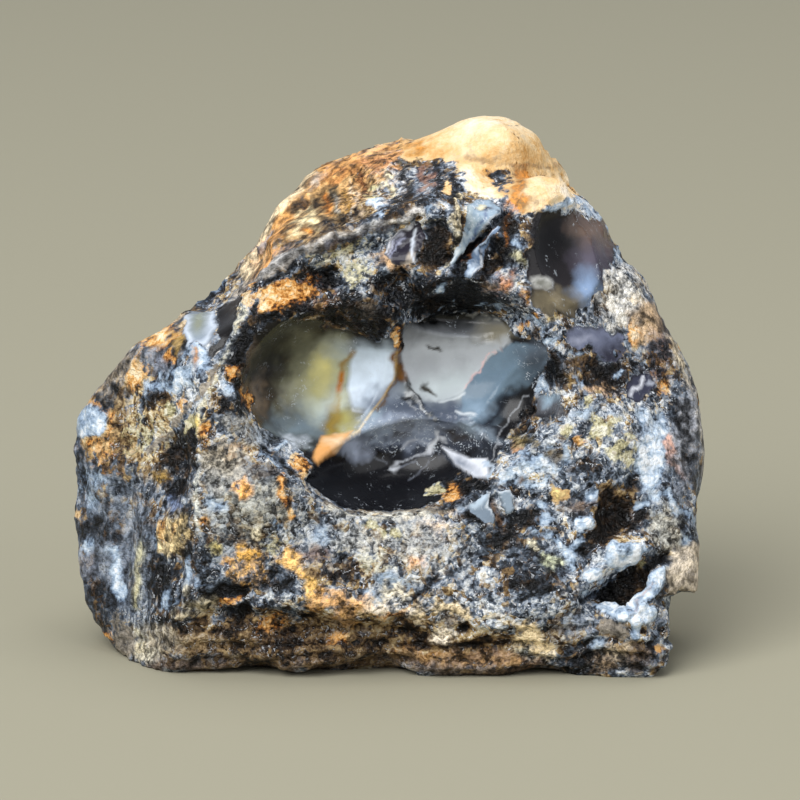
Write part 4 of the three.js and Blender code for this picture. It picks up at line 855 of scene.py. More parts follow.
# The speckled right side, with its pits, its blue-white veins and the chip off its edge
RIGHT_MARKS: tuple[Mark, ...] = (
    Blot("pale of right side", P, 0.5, 20, 6, (600, 440), (60, 50)),
    Blot("grey-white band", G, "#d8d4cc", 9, 6, (622, 300), (26, 34), 30),
    Blot("bright band", P, 1, 10, 6, (622, 298), (22, 30), 30),
    Blot("cream of band", C, 0.8, 4, 3, (632, 297), (8, 6)),
    Blot("dark by blue glow", D, 0.7, 5, 4, (598, 304), (8, 12), -30),
    Vein("pale arcs there", P, 1, 2, 3, ((586, 316), (592, 306), (602, 294)), 1.6),
    Blot("orange of right brow", R, 1, 3.5, 3, (634, 332), (9, 10), relief=0.15),
    Blot("bright orange", P, 0.8, 4, 3, (634, 331), (7, 8)),
    Blot("tan of right brow", G, "#cfb08a", 8, 6, (652, 322), (22, 20), -40),
    Blot("brown of right brow", G, "#6b452a", 8, 5, (662, 356), (13, 34), -14),
    Blot("dark of right brow", D, 0.7, 6, 5, (660, 356), (10, 24), -14),
    Blot("orange of brow's foot", R, 0.8, 3, 3, (663, 386), (5, 8)),
    Vein("cream outline of brow", G, "#e2d0ae", 4, 2, ((672, 336), (682, 366), (696, 396)), 4),
    Patch("blue-grey glass", O, "#747a92", 3, 3, ((562, 332), (574, 324), (594, 326), (622, 336), (624, 362),
        (598, 360), (592, 348), (576, 350), (564, 342))),
    Blot("dark of glass", T, "#2c2c3a", 7, 3, (612, 354), (13, 10)),
    Blot("pale edge of glass", T, "#b7bcd4", 3, 2, (581, 340), (9, 2.4), 6),
    Vein("crescent under glass", D, 1, 2, 1, ((566, 346), (577, 351), (592, 348)), 1.8),
    Vein("white crescent", M, 1, 1.6, 1, ((570, 351), (578, 353), (588, 351)), 1.3),
    Blot("glint by glass", M, 1, 1.6, 1, (615, 354), (2, 3)),
    Blot("brown under glass", G, "#5a4430", 4, 3, (578, 361), (14, 6)),
    Blot("black under glass", D, 1, 6, 4, (606, 373), (25, 14)),
    # A painted glint under the glass
    Blot("white streak under glass", M, 1, 2, 2, (619, 374), (3, 6), -40),
    Blot("pale blue over facet", M, 0.9, 4, 4, (546, 342), (9, 9)),
    Blot("dark over facet", D, 0.9, 3, 3, (534, 338), (6, 5)),
    Blot("black by facet", D, 1, 5, 4, (554, 370), (17, 15)),
    Vein("white streak by facet", M, 1, 3, 3, ((530, 368), (542, 384), (548, 394)), 4.5),
    Vein("bright streak", P, 1, 4, 4, ((530, 366), (542, 382), (562, 392)), 7),
    Blot("ochre by streak", G, "#8d713f", 4, 3, (571, 378), (6, 10)),
    Vein("white glint in ochre", M, 1, 2, 2, ((575, 376), (579, 388), (585, 378))),
    Blot("tan under it", G, "#c5a07c", 4, 4, (596, 390), (15, 4)),
    Patch("dark glass of side", O, "#3b3d50", 2.5, 2, ((630, 374), (652, 372), (656, 388), (640, 402), (626, 398))),
    Vein("glint of dark glass", T, "#eef1fb", 1.8, 2, ((644, 377), (636, 388), (632, 394)), 1.7),
    Blot("glint, lower", T, "#d4daea", 1.6, 1.5, (651, 384), (3, 2)),
    Patch("grey glass by crack", O, "#5f6066", 5, 3, ((532, 398), (556, 394), (562, 412), (550, 422), (534, 416))),
    Blot("blue of grey glass", T, "#a9c2d6", 5, 3, (548, 398), (7, 5)),
    Blot("dark foot of grey glass", T, "#25262b", 5, 3, (546, 416), (12, 5)),
    Blot("black by crack", D, 1, 5, 3, (526, 412), (9, 16), -20),
    Blot("olive by crack", G, "#7b6a3d", 5, 5, (518, 438), (14, 10)),
    Blot("orange by crack", G, "#b07b48", 3, 3, (517, 449), (6, 4)),
    Blot("grey speckle by crack", P, 0.6, 6, 5, (552, 434), (16, 10)),
    Blot("blue-white behind grains", M, 0.62, 7, 5, (590, 416), (26, 9)),
    Blot("cream grain, upper", Y, 1, 3, 3, (588, 402), (8, 6)),
    Blot("cream grain, left", Y, 1, 3, 2, (565, 432), (5.5, 7)),
    Blot("cream grains", Y, 1, 4, 4, (602, 426), (14, 10)),
    Blot("cream grains, low", Y, 0.9, 4, 4, (618, 452), (12, 12)),
    Blot("cream grains, far", Y, 0.9, 4, 4, (634, 462), (8, 8)),
    Blot("bright grains", P, 0.8, 8, 5, (606, 436), (34, 24)),
    Blot("hole in grains", D, 1, 3, 2, (584, 428), (7, 6)),
    Blot("ochre of hole", R, 1, 2.5, 2, (579, 438), (7, 4)),
    Blot("ring grain", S, 1, 2, 1, (631, 436), (9, 5.5)),
    Blot("middle of ring", Y, 1, 2, 1, (631, 436), (6, 3)),
    Blot("white by ring", M, 1, 5, 4, (648, 424), (10, 18), 10),
    Blot("brightness there", P, 1, 6, 4, (648, 424), (10, 18), 10),
    Blot("pale blue by bowl", M, 0.9, 4, 5, (534, 462), (16, 10)),
    Vein("pale network", M, 1, 3, 3, ((540, 470), (556, 472), (566, 462), (562, 446), (548, 447)), 2.2),
    Vein("pale network, low", M, 1, 3, 3, ((516, 464), (522, 482), (534, 488), (546, 478)), 2.6),
    Blot("bright network", P, 1, 7, 5, (540, 470), (28, 14)),
    Blot("grey oval", G, "#5d5549", 3, 2, (554, 456), (8, 8)),
    Blot("brown bead", G, "#5b4128", 2, 1, (521, 480), (3, 3.4)),
    Blot("yellow grain", C, 1, 3, 2.5, (558, 495), (11, 7), relief=0.3),
    Blot("gold of grain", G, "#efd68c", 3, 3, (556, 495), (9, 5)),
    Blot("speckled grey", D, 0.5, 8, 5, (590, 470), (26, 13)),
    Blot("dark of speckle", D, 0.7, 6, 5, (630, 486), (20, 9), -20),
    Blot("blue-white of side", M, 1, 5, 4, (654, 456), (16, 40), -8),
    Blot("bright blue", P, 1, 8, 5, (652, 454), (18, 38), -8),
    Vein("pink-orange streak", G, "#f0b08d", 3, 3, ((669, 442), (672, 460), (680, 474)), 4.4),
    Vein("blue seam under it", M, 1, 3, 3, ((652, 496), (670, 494), (676, 512), (688, 518)), 4.5),
    Blot("grey-tan of edge", G, "#b3b1a6", 7, 5, (667, 530), (15, 27), 10),
    Blot("blue-white of edge", M, 0.9, 3, 2, (687, 540), (8, 5)),
    Blot("dark of edge", D, 0.8, 3, 2, (680, 528), (6, 5)),
    Blot("smooth edge", B, 1, 8, 3, (690, 440), (20, 66), -6),
    Blot("grey of edge", G, "#a9abb2", 8, 5, (688, 440), (14, 52), -6, strength=0.9),
    Blot("smooth brow", B, 0.8, 10, 3, (648, 326), (28, 34), -40),
    Vein("dark streak of edge", D, 0.7, 4, 4, ((676, 400), (688, 440), (692, 480)), 4),
    Vein("pale outline of edge", G, "#bdb7ae", 4, 2, ((700, 410), (706, 450), (704, 480)), 4),
    Patch("chip", B, 1, 3, 2, ((674, 548), (700, 542), (700, 594), (670, 594), (666, 576))),
    Patch("cream chip", G, "#dccbb2", 3, 2, ((674, 548), (700, 542), (700, 594), (670, 594), (666, 576)), relief=0.2),
    Blot("pale of chip", P, 1, 5, 3, (682, 562), (8, 12)),
    Blot("grains left of amber", M, 0.5, 4, 3, (462, 508), (12, 5)),
    Patch("left piece of grey opal", O, "#7e8d9d", 1.6, 1.5, ((469, 499), (476, 493), (490, 493), (492, 510),
        (496, 520), (489, 531), (477, 527), (471, 514)), relief=0.35),
    Blot("pale head of left piece", T, "#b9cada", 3, 4, (480, 500), (7, 6)),
    Vein("bright side of left piece", T, "#e6eef5", 1.4, 3, ((490, 496), (491, 508), (494, 518)), 1),
    Patch("right piece of grey opal", O, "#8f9fae", 1.6, 1.5, ((499, 492), (508, 490), (515, 498), (514, 508),
        (506, 515), (502, 506)), relief=0.35),
    Vein("bright rim of right piece", T, "#e3ecf4", 1.4, 2, ((500, 492), (508, 491), (514, 498)), 1),
    Blot("bright pieces", P, 0.4, 6, 3, (492, 503), (26, 14)),
    Vein("amber gap", G, "#5e3c0c", 1.8, 1.5, ((494, 500), (498, 512), (500, 524)), 3.2, relief=-0.5),
    Blot("black of amber gap", D, 0.7, 2, 2, (494, 502), (2.4, 5)),
    Vein("black line under pieces", D, 1, 2.5, 2, ((468, 512), (482, 526), (500, 530), (514, 520)), 2.4),
    Vein("black seam by bowl", D, 1, 2, 2, ((448, 507), (466, 501), (484, 493)), 1.8),
    Blot("white by blade", M, 1, 3, 4, (510, 474), (10, 7)),
    Blot("brightness by blade", P, 1, 4, 4, (506, 470), (14, 10)),
    Blot("black of slab", D, 1, 5, 5, (528, 520), (20, 15)),
    Blot("white chip in black", M, 1, 2, 2, (541, 504), (4, 3)),
    Blot("blue on black", M, 0.9, 3, 3, (547, 517), (9, 7)),
    Blot("grey pieces", M, 0.7, 3, 3, (536, 531), (8, 5)),
    Blot("dark slab", D, 0.7, 9, 6, (530, 572), (30, 26)),
    Blot("dark under pieces", D, 1, 6, 6, (500, 538), (20, 12), 20),
    Patch("cream fleck, right", G, "#f4ebcb", 2, 1.5, ((524, 541), (534, 539), (541, 550), (538, 553),
        (529, 549)), relief=0.25),
    Blot("green opal", G, "#cdd1ac", 4, 4, (553, 560), (11, 9)),
    Blot("tan-white curl", M, 0.9, 2.5, 2, (550, 534), (6, 4)),
    Vein("blue V, left", M, 1, 2.5, 2, ((554, 539), (564, 548), (571, 568)), 3.6, relief=0.3),
    Vein("blue V, right", M, 1, 2.5, 2, ((582, 536), (572, 546), (571, 568)), 3.4, relief=0.3),
    Blot("pit by V", D, 1, 3, 2, (584, 550), (8, 8), relief=-0.4),
    Blot("brown round pit", G, "#5a412b", 6, 4, (580, 506), (16, 7)),
    Patch("brown-black pit", D, 1, 4, 4, ((600, 490), (622, 492), (636, 504), (628, 524), (610, 544), (592, 548),
        (590, 530), (600, 512)), relief=-0.5),
    Blot("brown of pit", W, 1, 6, 3, (612, 512), (24, 30), -28),
    Blot("white patch by pit", M, 1, 2.5, 2, (583, 524), (10, 9), relief=0.35),
    Blot("bright patch", P, 1, 3, 3, (583, 524), (12, 11)),
    Blot("lilac by pit", M, 1, 3, 2, (592, 496), (9, 5), 30),
    Blot("blue by pit", M, 1, 3, 3, (643, 508), (6, 10), -30),
    Blot("black by that blue", D, 1, 4, 4, (640, 520), (13, 6), 30),
    Patch("swirl", M, 1, 3, 3, ((592, 563), (604, 556), (612, 543), (626, 540), (640, 547), (652, 550), (636, 558),
        (628, 568), (618, 574), (614, 562)), relief=0.3),
    Blot("bright swirl", P, 1, 6, 3, (620, 560), (24, 12)),
    Blot("shade of swirl", D, 0.3, 5, 3, (622, 553), (7, 5)),
    Vein("rim of swirl", P, 1, 3, 2, ((592, 563), (604, 556), (612, 544), (626, 541), (648, 549)), 2.4),
    Patch("black wedge pit", D, 1, 3, 3, ((574, 602), (604, 588), (622, 578), (640, 562), (664, 548), (672, 560),
        (650, 572), (640, 590), (624, 604), (604, 600)), relief=-0.5),
    Blot("brown of wedge pit", W, 1, 5, 3, (632, 586), (30, 10), 34),
    Vein("grey line of wedge", M, 0.8, 2, 2, ((592, 598), (604, 590), (618, 583)), 1.6),
    Blot("ochre in wedge", Y, 1, 2.5, 2, (642, 564), (7, 3.4), 28),
    Blot("white knot", M, 1, 2.5, 2.5, (593, 575), (8, 7), relief=0.3),
    Blot("bright knot", P, 1, 3, 3, (592, 574), (8, 7)),
    Blot("small white ring", M, 1, 2, 1, (586, 593), (4, 3)),
    Blot("blue-grey speckle", G, "#7d8797", 8, 5, (572, 628), (26, 14), strength=0.7),
    Blot("warm grey foot", S, 0.9, 5, 3, (614, 631), (16, 9)),
    Patch("left arm of vein", M, 1, 2, 1.5, ((592, 606), (603, 602), (615, 604), (628, 607), (633, 613),
        (626, 620), (615, 621), (603, 616)), relief=0.45),
    Patch("right arm of vein", M, 1, 2, 1.5, ((626, 607), (640, 592), (643, 580), (652, 571), (664, 567),
        (664, 578), (655, 600), (645, 605), (634, 616)), relief=0.45),
    Blot("lobe of vein", M, 1, 2, 1.5, (645, 614), (10, 10), relief=0.45),
    Patch("stem of vein", M, 1, 2, 2, ((628, 614), (640, 618), (642, 634), (636, 640), (630, 636)), relief=0.35),
    Vein("bright vein", P, 1, 4, 2, ((606, 611), (622, 614), (636, 606), (650, 586), (660, 572)), 5),
    Blot("bright lobe", P, 1, 4, 3, (644, 614), (11, 11)),
    Vein("seam of vein", G, "#b5a3a8", 1.6, 1, ((634, 612), (644, 598), (652, 584)), 0.8),
    # The dark along the right foot is partly painted shade of the underside
    Blot("dark foot", D, 0.7, 8, 5, (588, 658), (50, 12)),
    Blot("brown of right foot", G, "#5b4a3a", 8, 5, (632, 656), (28, 14), strength=0.8),
    Blot("cream foot", G, "#dcc8a8", 4, 4, (612, 650), (15, 6)),
    Blot("tan foot", G, "#b9a084", 5, 4, (604, 664), (14, 9)),
    Blot("green-white grain", M, 0.8, 3, 3, (597, 645), (6, 6)),
    Blot("bulge of left edge", X, 1, 10, 3, (94, 440), (18, 42), 8, relief=1.4),
    Vein("dip of left shoulder", X, 1, 8, 3, ((202, 300), (232, 282), (258, 256)), 12, relief=-1.2),
    Vein("bulge of brow", X, 1, 6, 3, ((306, 178), (334, 164), (400, 139)), 8, relief=0.5),
    Blot("bulge right of cap", X, 1, 12, 3, (558, 168), (14, 16), relief=0.6),
    Blot("dip under chip", X, 1, 5, 3, (678, 602), (14, 9), relief=-1.2),
    Blot("pink corner", C, 0.8, 4, 3, (658, 650), (7, 7)),
)

# What the stone has on its back, top and far sides, guessed from what shows beside them
HIDDEN_MARKS: tuple[Mark, ...] = (
    Spot("rust of far slope", R, 0.62, 1.2, 1.4, (-6, 2, 51), (14, 12, 5)),
    Spot("chalk of far slope", C, 0.7, 2, 2.5, (-6, 3, 50), (9, 10, 4)),
    Spot("tan of far slope", G, "#e3b27c", 2, 1.4, (-7, 3, 48), (17, 12, 7), strength=0.9),
    Spot("smooth far slope", B, 1, 2, 1.4, (-7, 3, 48), (17, 12, 7)),
    Spot("fibres of far slope", F, 1, 3, 1.4, (-8, 6, 46), (14, 14, 10)),
    Spot("chalk of crown", C, 1, 1.2, 1.4, (12, 4, 53), (15, 13, 8)),
    Spot("chalk down back", C, 0.8, 1.2, 1.4, (14, 15, 42), (9, 7, 7)),
    Spot("amber of crown", R, 0.75, 1.2, 1.4, (20, 6, 45), (5, 6, 5)),
    Spot("brown line of crown", R, 0.6, 1.2, 1.4, (12, 6, 46.5), (17, 12, 1.2)),
    Spot("opal in back shell", O, "#151518", 0.5, 2.6, (5, 19.6, 26), (10.5, 5, 7.4)),
    Spot("clean of dust", B, 1, 2, 1.4, (5, 19.6, 26), (12, 6, 9)),
    Spot("smoky glow of back shell", T, "#54504f", 3, 1.4, (9, 19, 29), (6, 5, 4)),
    Spot("blue glow of back shell", T, "#5f7488", 3, 1.4, (1, 19, 23), (5, 5, 3.4)),
    Spot("pale rim of back shell", P, 0.8, 1.2, 1.4, (5, 18, 17.5), (12, 5, 2)),
    Spot("opal of far left", O, "#1b1c20", 0.5, 2.4, (-24, 9, 27), (3.2, 4, 3.4)),
    Spot("milk of back", M, 1, 1.2, 1.4, (-7, 17, 36), (8, 5, 2.6), relief=0.2),
    Spot("milk beside shell", M, 0.9, 1.2, 1.4, (17, 15, 19), (2.6, 5, 7), relief=0.2),
    Spot("milk low on back", M, 0.9, 1.2, 1.4, (-2, 17, 11), (9, 5, 1.9)),
    Spot("white of far left", M, 0.7, 1.2, 1.4, (-27, 2, 24), (3, 4, 6)),
    Spot("rust of back left", R, 0.75, 1.2, 1.4, (-15, 15, 27), (6, 5, 5), relief=0.2),
    Spot("rust of back foot", R, 0.66, 1.2, 1.4, (10, 16, 7), (12, 6, 2.6), relief=0.2),
    Spot("ochre of back", Y, 0.7, 1.2, 1.4, (-9, 18, 17), (6, 5, 5)),
    Spot("ochre of right", Y, 0.66, 1.2, 1.4, (26, 4, 30), (4, 6, 6)),
    Spot("rust of right", R, 0.66, 1.2, 1.4, (28, 2, 20), (3, 5, 5)),
    Spot("milk of right", M, 0.7, 1.2, 1.4, (28, -2, 28), (3, 4, 3)),
    Spot("dark of back", D, 0.8, 2, 1.4, (19, 14, 30), (6, 6, 8)),
    Spot("dark of back left", D, 0.8, 2, 1.4, (-18, 14, 12), (7, 6, 5)),
    Spot("pale of back left", P, 0.6, 3, 1.4, (-22, 12, 20), (6, 6, 8)),
    Spot("brown of back", W, 0.8, 3, 1.4, (0, 16, 40), (20, 8, 8)),
    Spot("brown of back foot", W, 0.8, 3, 1.4, (0, 16, 5), (30, 8, 5)),
    Spot("fibres of left", F, 1, 3, 1.4, (-28, 4, 20), (6, 12, 16)),
    Spot("fibres of right", F, 0.8, 3, 1.4, (28, 4, 20), (5, 10, 14)),
)
# fmt: on


def add_node(tree: bpy.types.NodeTree, kind: str, inputs: dict | None = None, **settings) -> bpy.types.Node:
    """Adds a node with its settings and links.

    Args:
        tree: the tree that gets the node.
        kind: the node's type.
        inputs: for each input's name or number, the socket that feeds it or its value.
        settings: the node's own settings; ramp lists a colour ramp's stops as place and hex colour.

    Returns:
        The new node.
    """
    node = tree.nodes.new(kind)
    for place, colour in settings.pop("ramp", ()):
        stops = node.color_ramp.elements
        stop = stops[0] if place == 0 else stops[-1] if place == 1 else stops.new(place)
        stop.color = linear(colour)
    for name, value in settings.items():
        setattr(node, name, value)
    for key, value in (inputs or {}).items():
        if isinstance(value, Socket):
            tree.links.new(value, node.inputs[key])
        else:
            node.inputs[key].default_value = value
    return node


@dataclass
class Surface:
    """A finish as it runs through the node tree: its colour and its roughness."""

    colour: Socket
    roughness: Socket


@dataclass
class Grains:
    """Grains side by side: the distance from a grain's middle, and three random numbers that each one has."""

    middle: Socket
    tone: Socket
    chance: Socket
    heat: Socket


class Ground:
    """The patterns that all finishes share, laid out in millimetres on the stone itself."""

    def __init__(self, tree: bpy.types.NodeTree) -> None:
        """Lays out the coordinates, the painted attributes and the shared patterns.

        Args:
            tree: the material's node tree.
        """
        self.tree = tree
        self.place = self.scaled(add_node(tree, "ShaderNodeTexCoord").outputs["Object"], 1 / MM)
        wind = add_node(tree, "ShaderNodeTexNoise", {"Vector": self.place, "Scale": 0.8, "Detail": 1.0})
        warped, twisted = self.stray(wind.outputs["Color"], 0.5), self.stray(wind.outputs["Color"], 1.3)
        self.fine = self.cloud(0.34, 2)
        self.lumps = self.cloud(0.95, 3)
        self.broad = self.cloud(3.2, 3)
        self.streaks = self.cloud(0.45, 2, self.scaled(warped, (1, 1, 0.2)), sharp=0.2)
        self.sand = self.grains(0.56, warped)
        self.clast = self.grains(1.3, twisted)
        self.specks = self.between(self.cloud(0.22, 2, warped), 0.7, 0.95)
        self.fields, self.tints = {}, {}
        for name in ATTRIBUTES:
            paint = add_node(tree, "ShaderNodeAttribute", attribute_name=name)
            parts = add_node(tree, "ShaderNodeSeparateColor", {0: paint.outputs["Color"]})
            sockets = [*parts.outputs, paint.outputs["Alpha"]]
            self.fields.update({stuff: sockets[stuff.value[1]] for stuff in Stuff if stuff.value[0] == name})
            self.tints[name] = paint.outputs["Color"]
        tone = self.sand.tone
        even = self.total((tone, 0.46), (self.clast.tone, 0.26), (self.lumps, 0.36), (self.fine, 0.3), start=-0.12)
        streaky = self.total((self.streaks, 0.6), (tone, 0.22), (self.lumps, 0.24), start=-0.03)
        soft = self.total((self.lumps, 0.4), (self.broad, 0.3), (tone, 0.1), start=0.13)
        rough = self.node("ShaderNodeMix", {0: self.fields[Stuff.FIBRE], 2: even, 3: streaky})
        self.speckle = self.node("ShaderNodeMix", {0: self.fields[Stuff.SOFT], 2: rough, 3: soft})

    def node(self, kind: str, inputs: dict, **settings) -> Socket:
        """Adds a node and gives its first output."""
        return add_node(self.tree, kind, inputs, **settings).outputs[0]

    def scaled(self, place: Socket, scale: float | Point) -> Socket:
        """Coordinates times a scale."""
        scale = scale if isinstance(scale, tuple) else (scale,) * 3
        return self.node("ShaderNodeMapping", {"Vector": place, "Scale": scale})

    def stray(self, wind: Socket, reach: float) -> Socket:
        """The stone's coordinates, strayed by noise as far as a reach in millimetres."""
        keys = {0: wind, 1: (reach * 2,) * 3, 2: self.place}
        return self.node("ShaderNodeVectorMath", keys, operation="MULTIPLY_ADD")

    def cloud(self, wave: float, detail: float, place: Socket | None = None, sharp: float = 0.16) -> Socket:
        """Soft noise drawn out to run from 0 to 1.

        Args:
            wave: its longest wave in millimetres.
            detail: its number of finer layers.
            place: the coordinates, the stone's own by default.
            sharp: how far either side of its middle it is drawn out.

        Returns:
            The noise's socket.
        """
        keys = {"Vector": place or self.place, "Scale": 1 / wave, "Detail": detail}
        return self.between(self.node("ShaderNodeTexNoise", keys), 0.5 - sharp, 0.5 + sharp)

    def grains(self, size: float, place: Socket) -> Grains:
        """Lays out grains.

        Args:
            size: how far apart their middles lie, in millimetres.
            place: the coordinates.

        Returns:
            The grains' sockets.
        """
        cells = add_node(self.tree, "ShaderNodeTexVoronoi", {"Vector": place, "Scale": 1 / size})
        parts = add_node(self.tree, "ShaderNodeSeparateColor", {0: cells.outputs["Color"]})
        return Grains(cells.outputs["Distance"], *parts.outputs)

    def between(self, value: Socket, low: float, high: float, to: Place = (0.0, 1.0)) -> Socket:
        """Maps a value smoothly from one range to another.

        Args:
            value: the socket to map.
            low: where the first range starts.
            high: where it ends.
            to: the second range.

        Returns:
            The mapped socket.
        """
        keys = {"Value": value, "From Min": low, "From Max": high, "To Min": to[0], "To Max": to[1]}
        return self.node("ShaderNodeMapRange", keys, interpolation_type="SMOOTHSTEP")

    def total(self, *parts: tuple[Socket | Stuff, float], start: float = 0.0) -> Socket:
        """Adds up sockets and painted stuffs, each times its weight, and keeps the sum between 0 and 1.

        Args:
            parts: sockets or stuffs with their weights.
            start: what they are added to.

        Returns:
            The sum's socket.
        """
        result = start
        for index, (part, weight) in enumerate(parts, 1):
            keys = {0: self.fields[part] if isinstance(part, Stuff) else part, 1: weight, 2: result}
            result = self.node("ShaderNodeMath", keys, operation="MULTIPLY_ADD", use_clamp=index == len(parts))
        return result

    def times(self, first: Socket, second: Socket) -> Socket:
        """One socket times another."""
        return self.node("ShaderNodeMath", {0: first, 1: second}, operation="MULTIPLY")

    def toned(self, tone: Socket, pale: float, dark: float) -> Socket:
        """A tone made paler and darker where that was painted."""
        return self.total((Stuff.PALE, pale), (Stuff.DARK, -dark), (tone, 1.0))

    def ramp(self, value: Socket, *colours: str) -> Socket:
        """Colours in even steps along a value."""
        stops = [(i / (len(colours) - 1), colour) for i, colour in enumerate(colours)]
        return self.node("ShaderNodeValToRGB", {0: value}, ramp=stops)

    def mix(self, share: Socket, below: Socket | tuple, above: Socket | tuple) -> Socket:
        """Lays one colour, a socket or a value, over another."""
        keys = {0: share, 6: below, 7: above}
        return add_node(self.tree, "ShaderNodeMix", keys, data_type="RGBA").outputs[2]

    def lay(self, below: Surface, above: Surface, share: Socket) -> Surface:
        """Lays one finish over another where its share says so."""
        roughness = self.node("ShaderNodeMix", {0: share, 2: below.roughness, 3: above.roughness})
        return Surface(self.mix(share, below.colour, above.colour), roughness)

    def share(self, stuff: Stuff, ragged: float = 0.45, crisp: float = 0.14) -> Socket:
        """Where a painted stuff shows, with an uneven border.

        Args:
            stuff: the stuff that was painted.
            ragged: how strongly noise moves the border.
            crisp: how far either side of one half the border fades.

        Returns:
            The share's socket.
        """
        noises = ((self.lumps, ragged * 0.42), (self.fine, ragged * 0.4), (self.sand.chance, ragged * 0.34))
        return self.between(self.total(*noises, (stuff, 1.0), start=-ragged * 0.58), 0.5 - crisp, 0.5 + crisp)


@dataclass(frozen=True)
class HostRock:
    """Silicified ash, broken rough: black, blue-grey and cream grains of sand size that glitter a little, partly with
    painted glints.
    """

    cool: tuple[str, ...] = ("#040405", "#14161a", "#2e343d", "#555f6c", "#8791a0", "#bcc2c6", "#eceff2")
    warm: tuple[str, ...] = ("#080605", "#221912", "#4e3b27", "#826a48", "#b3996e", "#dac69c", "#f4e9d0")
    # colour of the painted glints: white flecks that stand in for tiny highlights
    fleck: str = "#eef3fa"

    def surface(self, ground: Ground) -> Surface:
        """Builds the rock's grains and streaks, and the white flecks that are painted glints."""
        flat = ground.total((Stuff.DARK, -0.6), start=1.0)
        tone = ground.toned(ground.times(ground.speckle, flat), 0.3, 0.2)
        heat = ground.total(
            (ground.broad, 0.30), (ground.clast.chance, 0.24), (ground.sand.heat, 0.34), (Stuff.WARM, 0.45),
            (Stuff.RUST, 0.5), (Stuff.MILK, -0.3), (Stuff.SOFT, -0.12), start=-0.05,
        )  # fmt: skip
        warmth = ground.between(heat, 0.44, 0.68)
        colour = ground.mix(warmth, ground.ramp(tone, *self.cool), ground.ramp(tone, *self.warm))
        chance = ground.total((Stuff.PALE, 0.2), (Stuff.SOFT, -0.4), (Stuff.DARK, -0.3), (ground.sand.chance, 0.7))
        # Painted glints: white flecks where the sand's chance is high, fewer on soft and dark parts
        glitter = ground.times(ground.between(chance, 0.3, 0.7, (0.0, 0.8)), ground.specks)
        colour = ground.mix(glitter, colour, linear(self.fleck))
        return Surface(colour, ground.between(tone, 0.1, 0.8, (0.35, 0.72)))


@dataclass(frozen=True)
class DarkOpal:
    """Common opal where it broke like glass: black to grey depths under a clear, wet-looking gloss."""

    grit: str = "#c9d2dc"

    def surface(self, ground: Ground) -> Surface:
        """Builds the painted depths with their grit."""
        colour = ground.mix(ground.between(ground.broad, 0, 1, (0.0, 0.14)), ground.tints["opal"], linear("#000000"))
        chance = ground.total((ground.sand.chance, 0.7), (Stuff.PALE, 0.5))
        dust = ground.times(ground.between(chance, 0.6, 1.0, (0.0, 0.7)), ground.specks)
        colour = ground.mix(dust, colour, linear(self.grit))
        return Surface(colour, ground.between(ground.broad, 0, 1, (0.22, 0.32)))


@dataclass(frozen=True)
class Glaze:
    """A thin stain or film of any colour, through which the rock's own speckle shows."""

    darkest: float = 0.1
    palest: float = 1.7

    def surface(self, ground: Ground) -> Surface:
        """Builds the speckled film."""
        tone = ground.toned(ground.speckle, 0.15, 0.5)
        keys = {0: ground.tints["glaze"], "Scale": ground.between(tone, 0.0, 1.0, (self.darkest, self.palest))}
        colour = ground.node("ShaderNodeVectorMath", keys, operation="SCALE")
        return Surface(colour, ground.between(tone, 0, 1, (0.45, 0.65)))


@dataclass(frozen=True)
class Mottled:
    """A finish with one run of colours, mottled by the ground's patterns and by what was painted."""

    stuff: Stuff
    colours: tuple[str, ...]  # from its dark parts to its pale ones
    mottling: dict[str | Stuff, float]  # weights of stuffs and of the ground's patterns, by name
    start: float  # its tone before those are added
    shades: Place  # how far painted paleness and darkness change its tone
    roughness: Place  # of its dark and its pale parts
    border: Place = (0.45, 0.14)  # how ragged and how crisp its border is

    def surface(self, ground: Ground) -> Surface:
        """Builds the mottling."""
        parts = [(p if isinstance(p, Stuff) else attrgetter(p)(ground), weight) for p, weight in self.mottling.items()]
        tone = ground.toned(ground.total(*parts, start=self.start), *self.shades)
        return Surface(ground.ramp(tone, *self.colours), ground.between(tone, 0, 1, self.roughness))


@dataclass(frozen=True)
class SpeckledRind(Mottled):
    """A mottled finish with specks of another colour."""

    speck: str = "#7c5426"

    def surface(self, ground: Ground) -> Surface:
        """Builds the mottling and the specks on it."""
        rind, clast = super().surface(ground), ground.clast
        spotted = ground.times(ground.between(clast.tone, 0.90, 0.93), ground.between(clast.middle, 0.26, 0.12))
        return Surface(ground.mix(spotted, rind.colour, linear(self.speck)), rind.roughness)


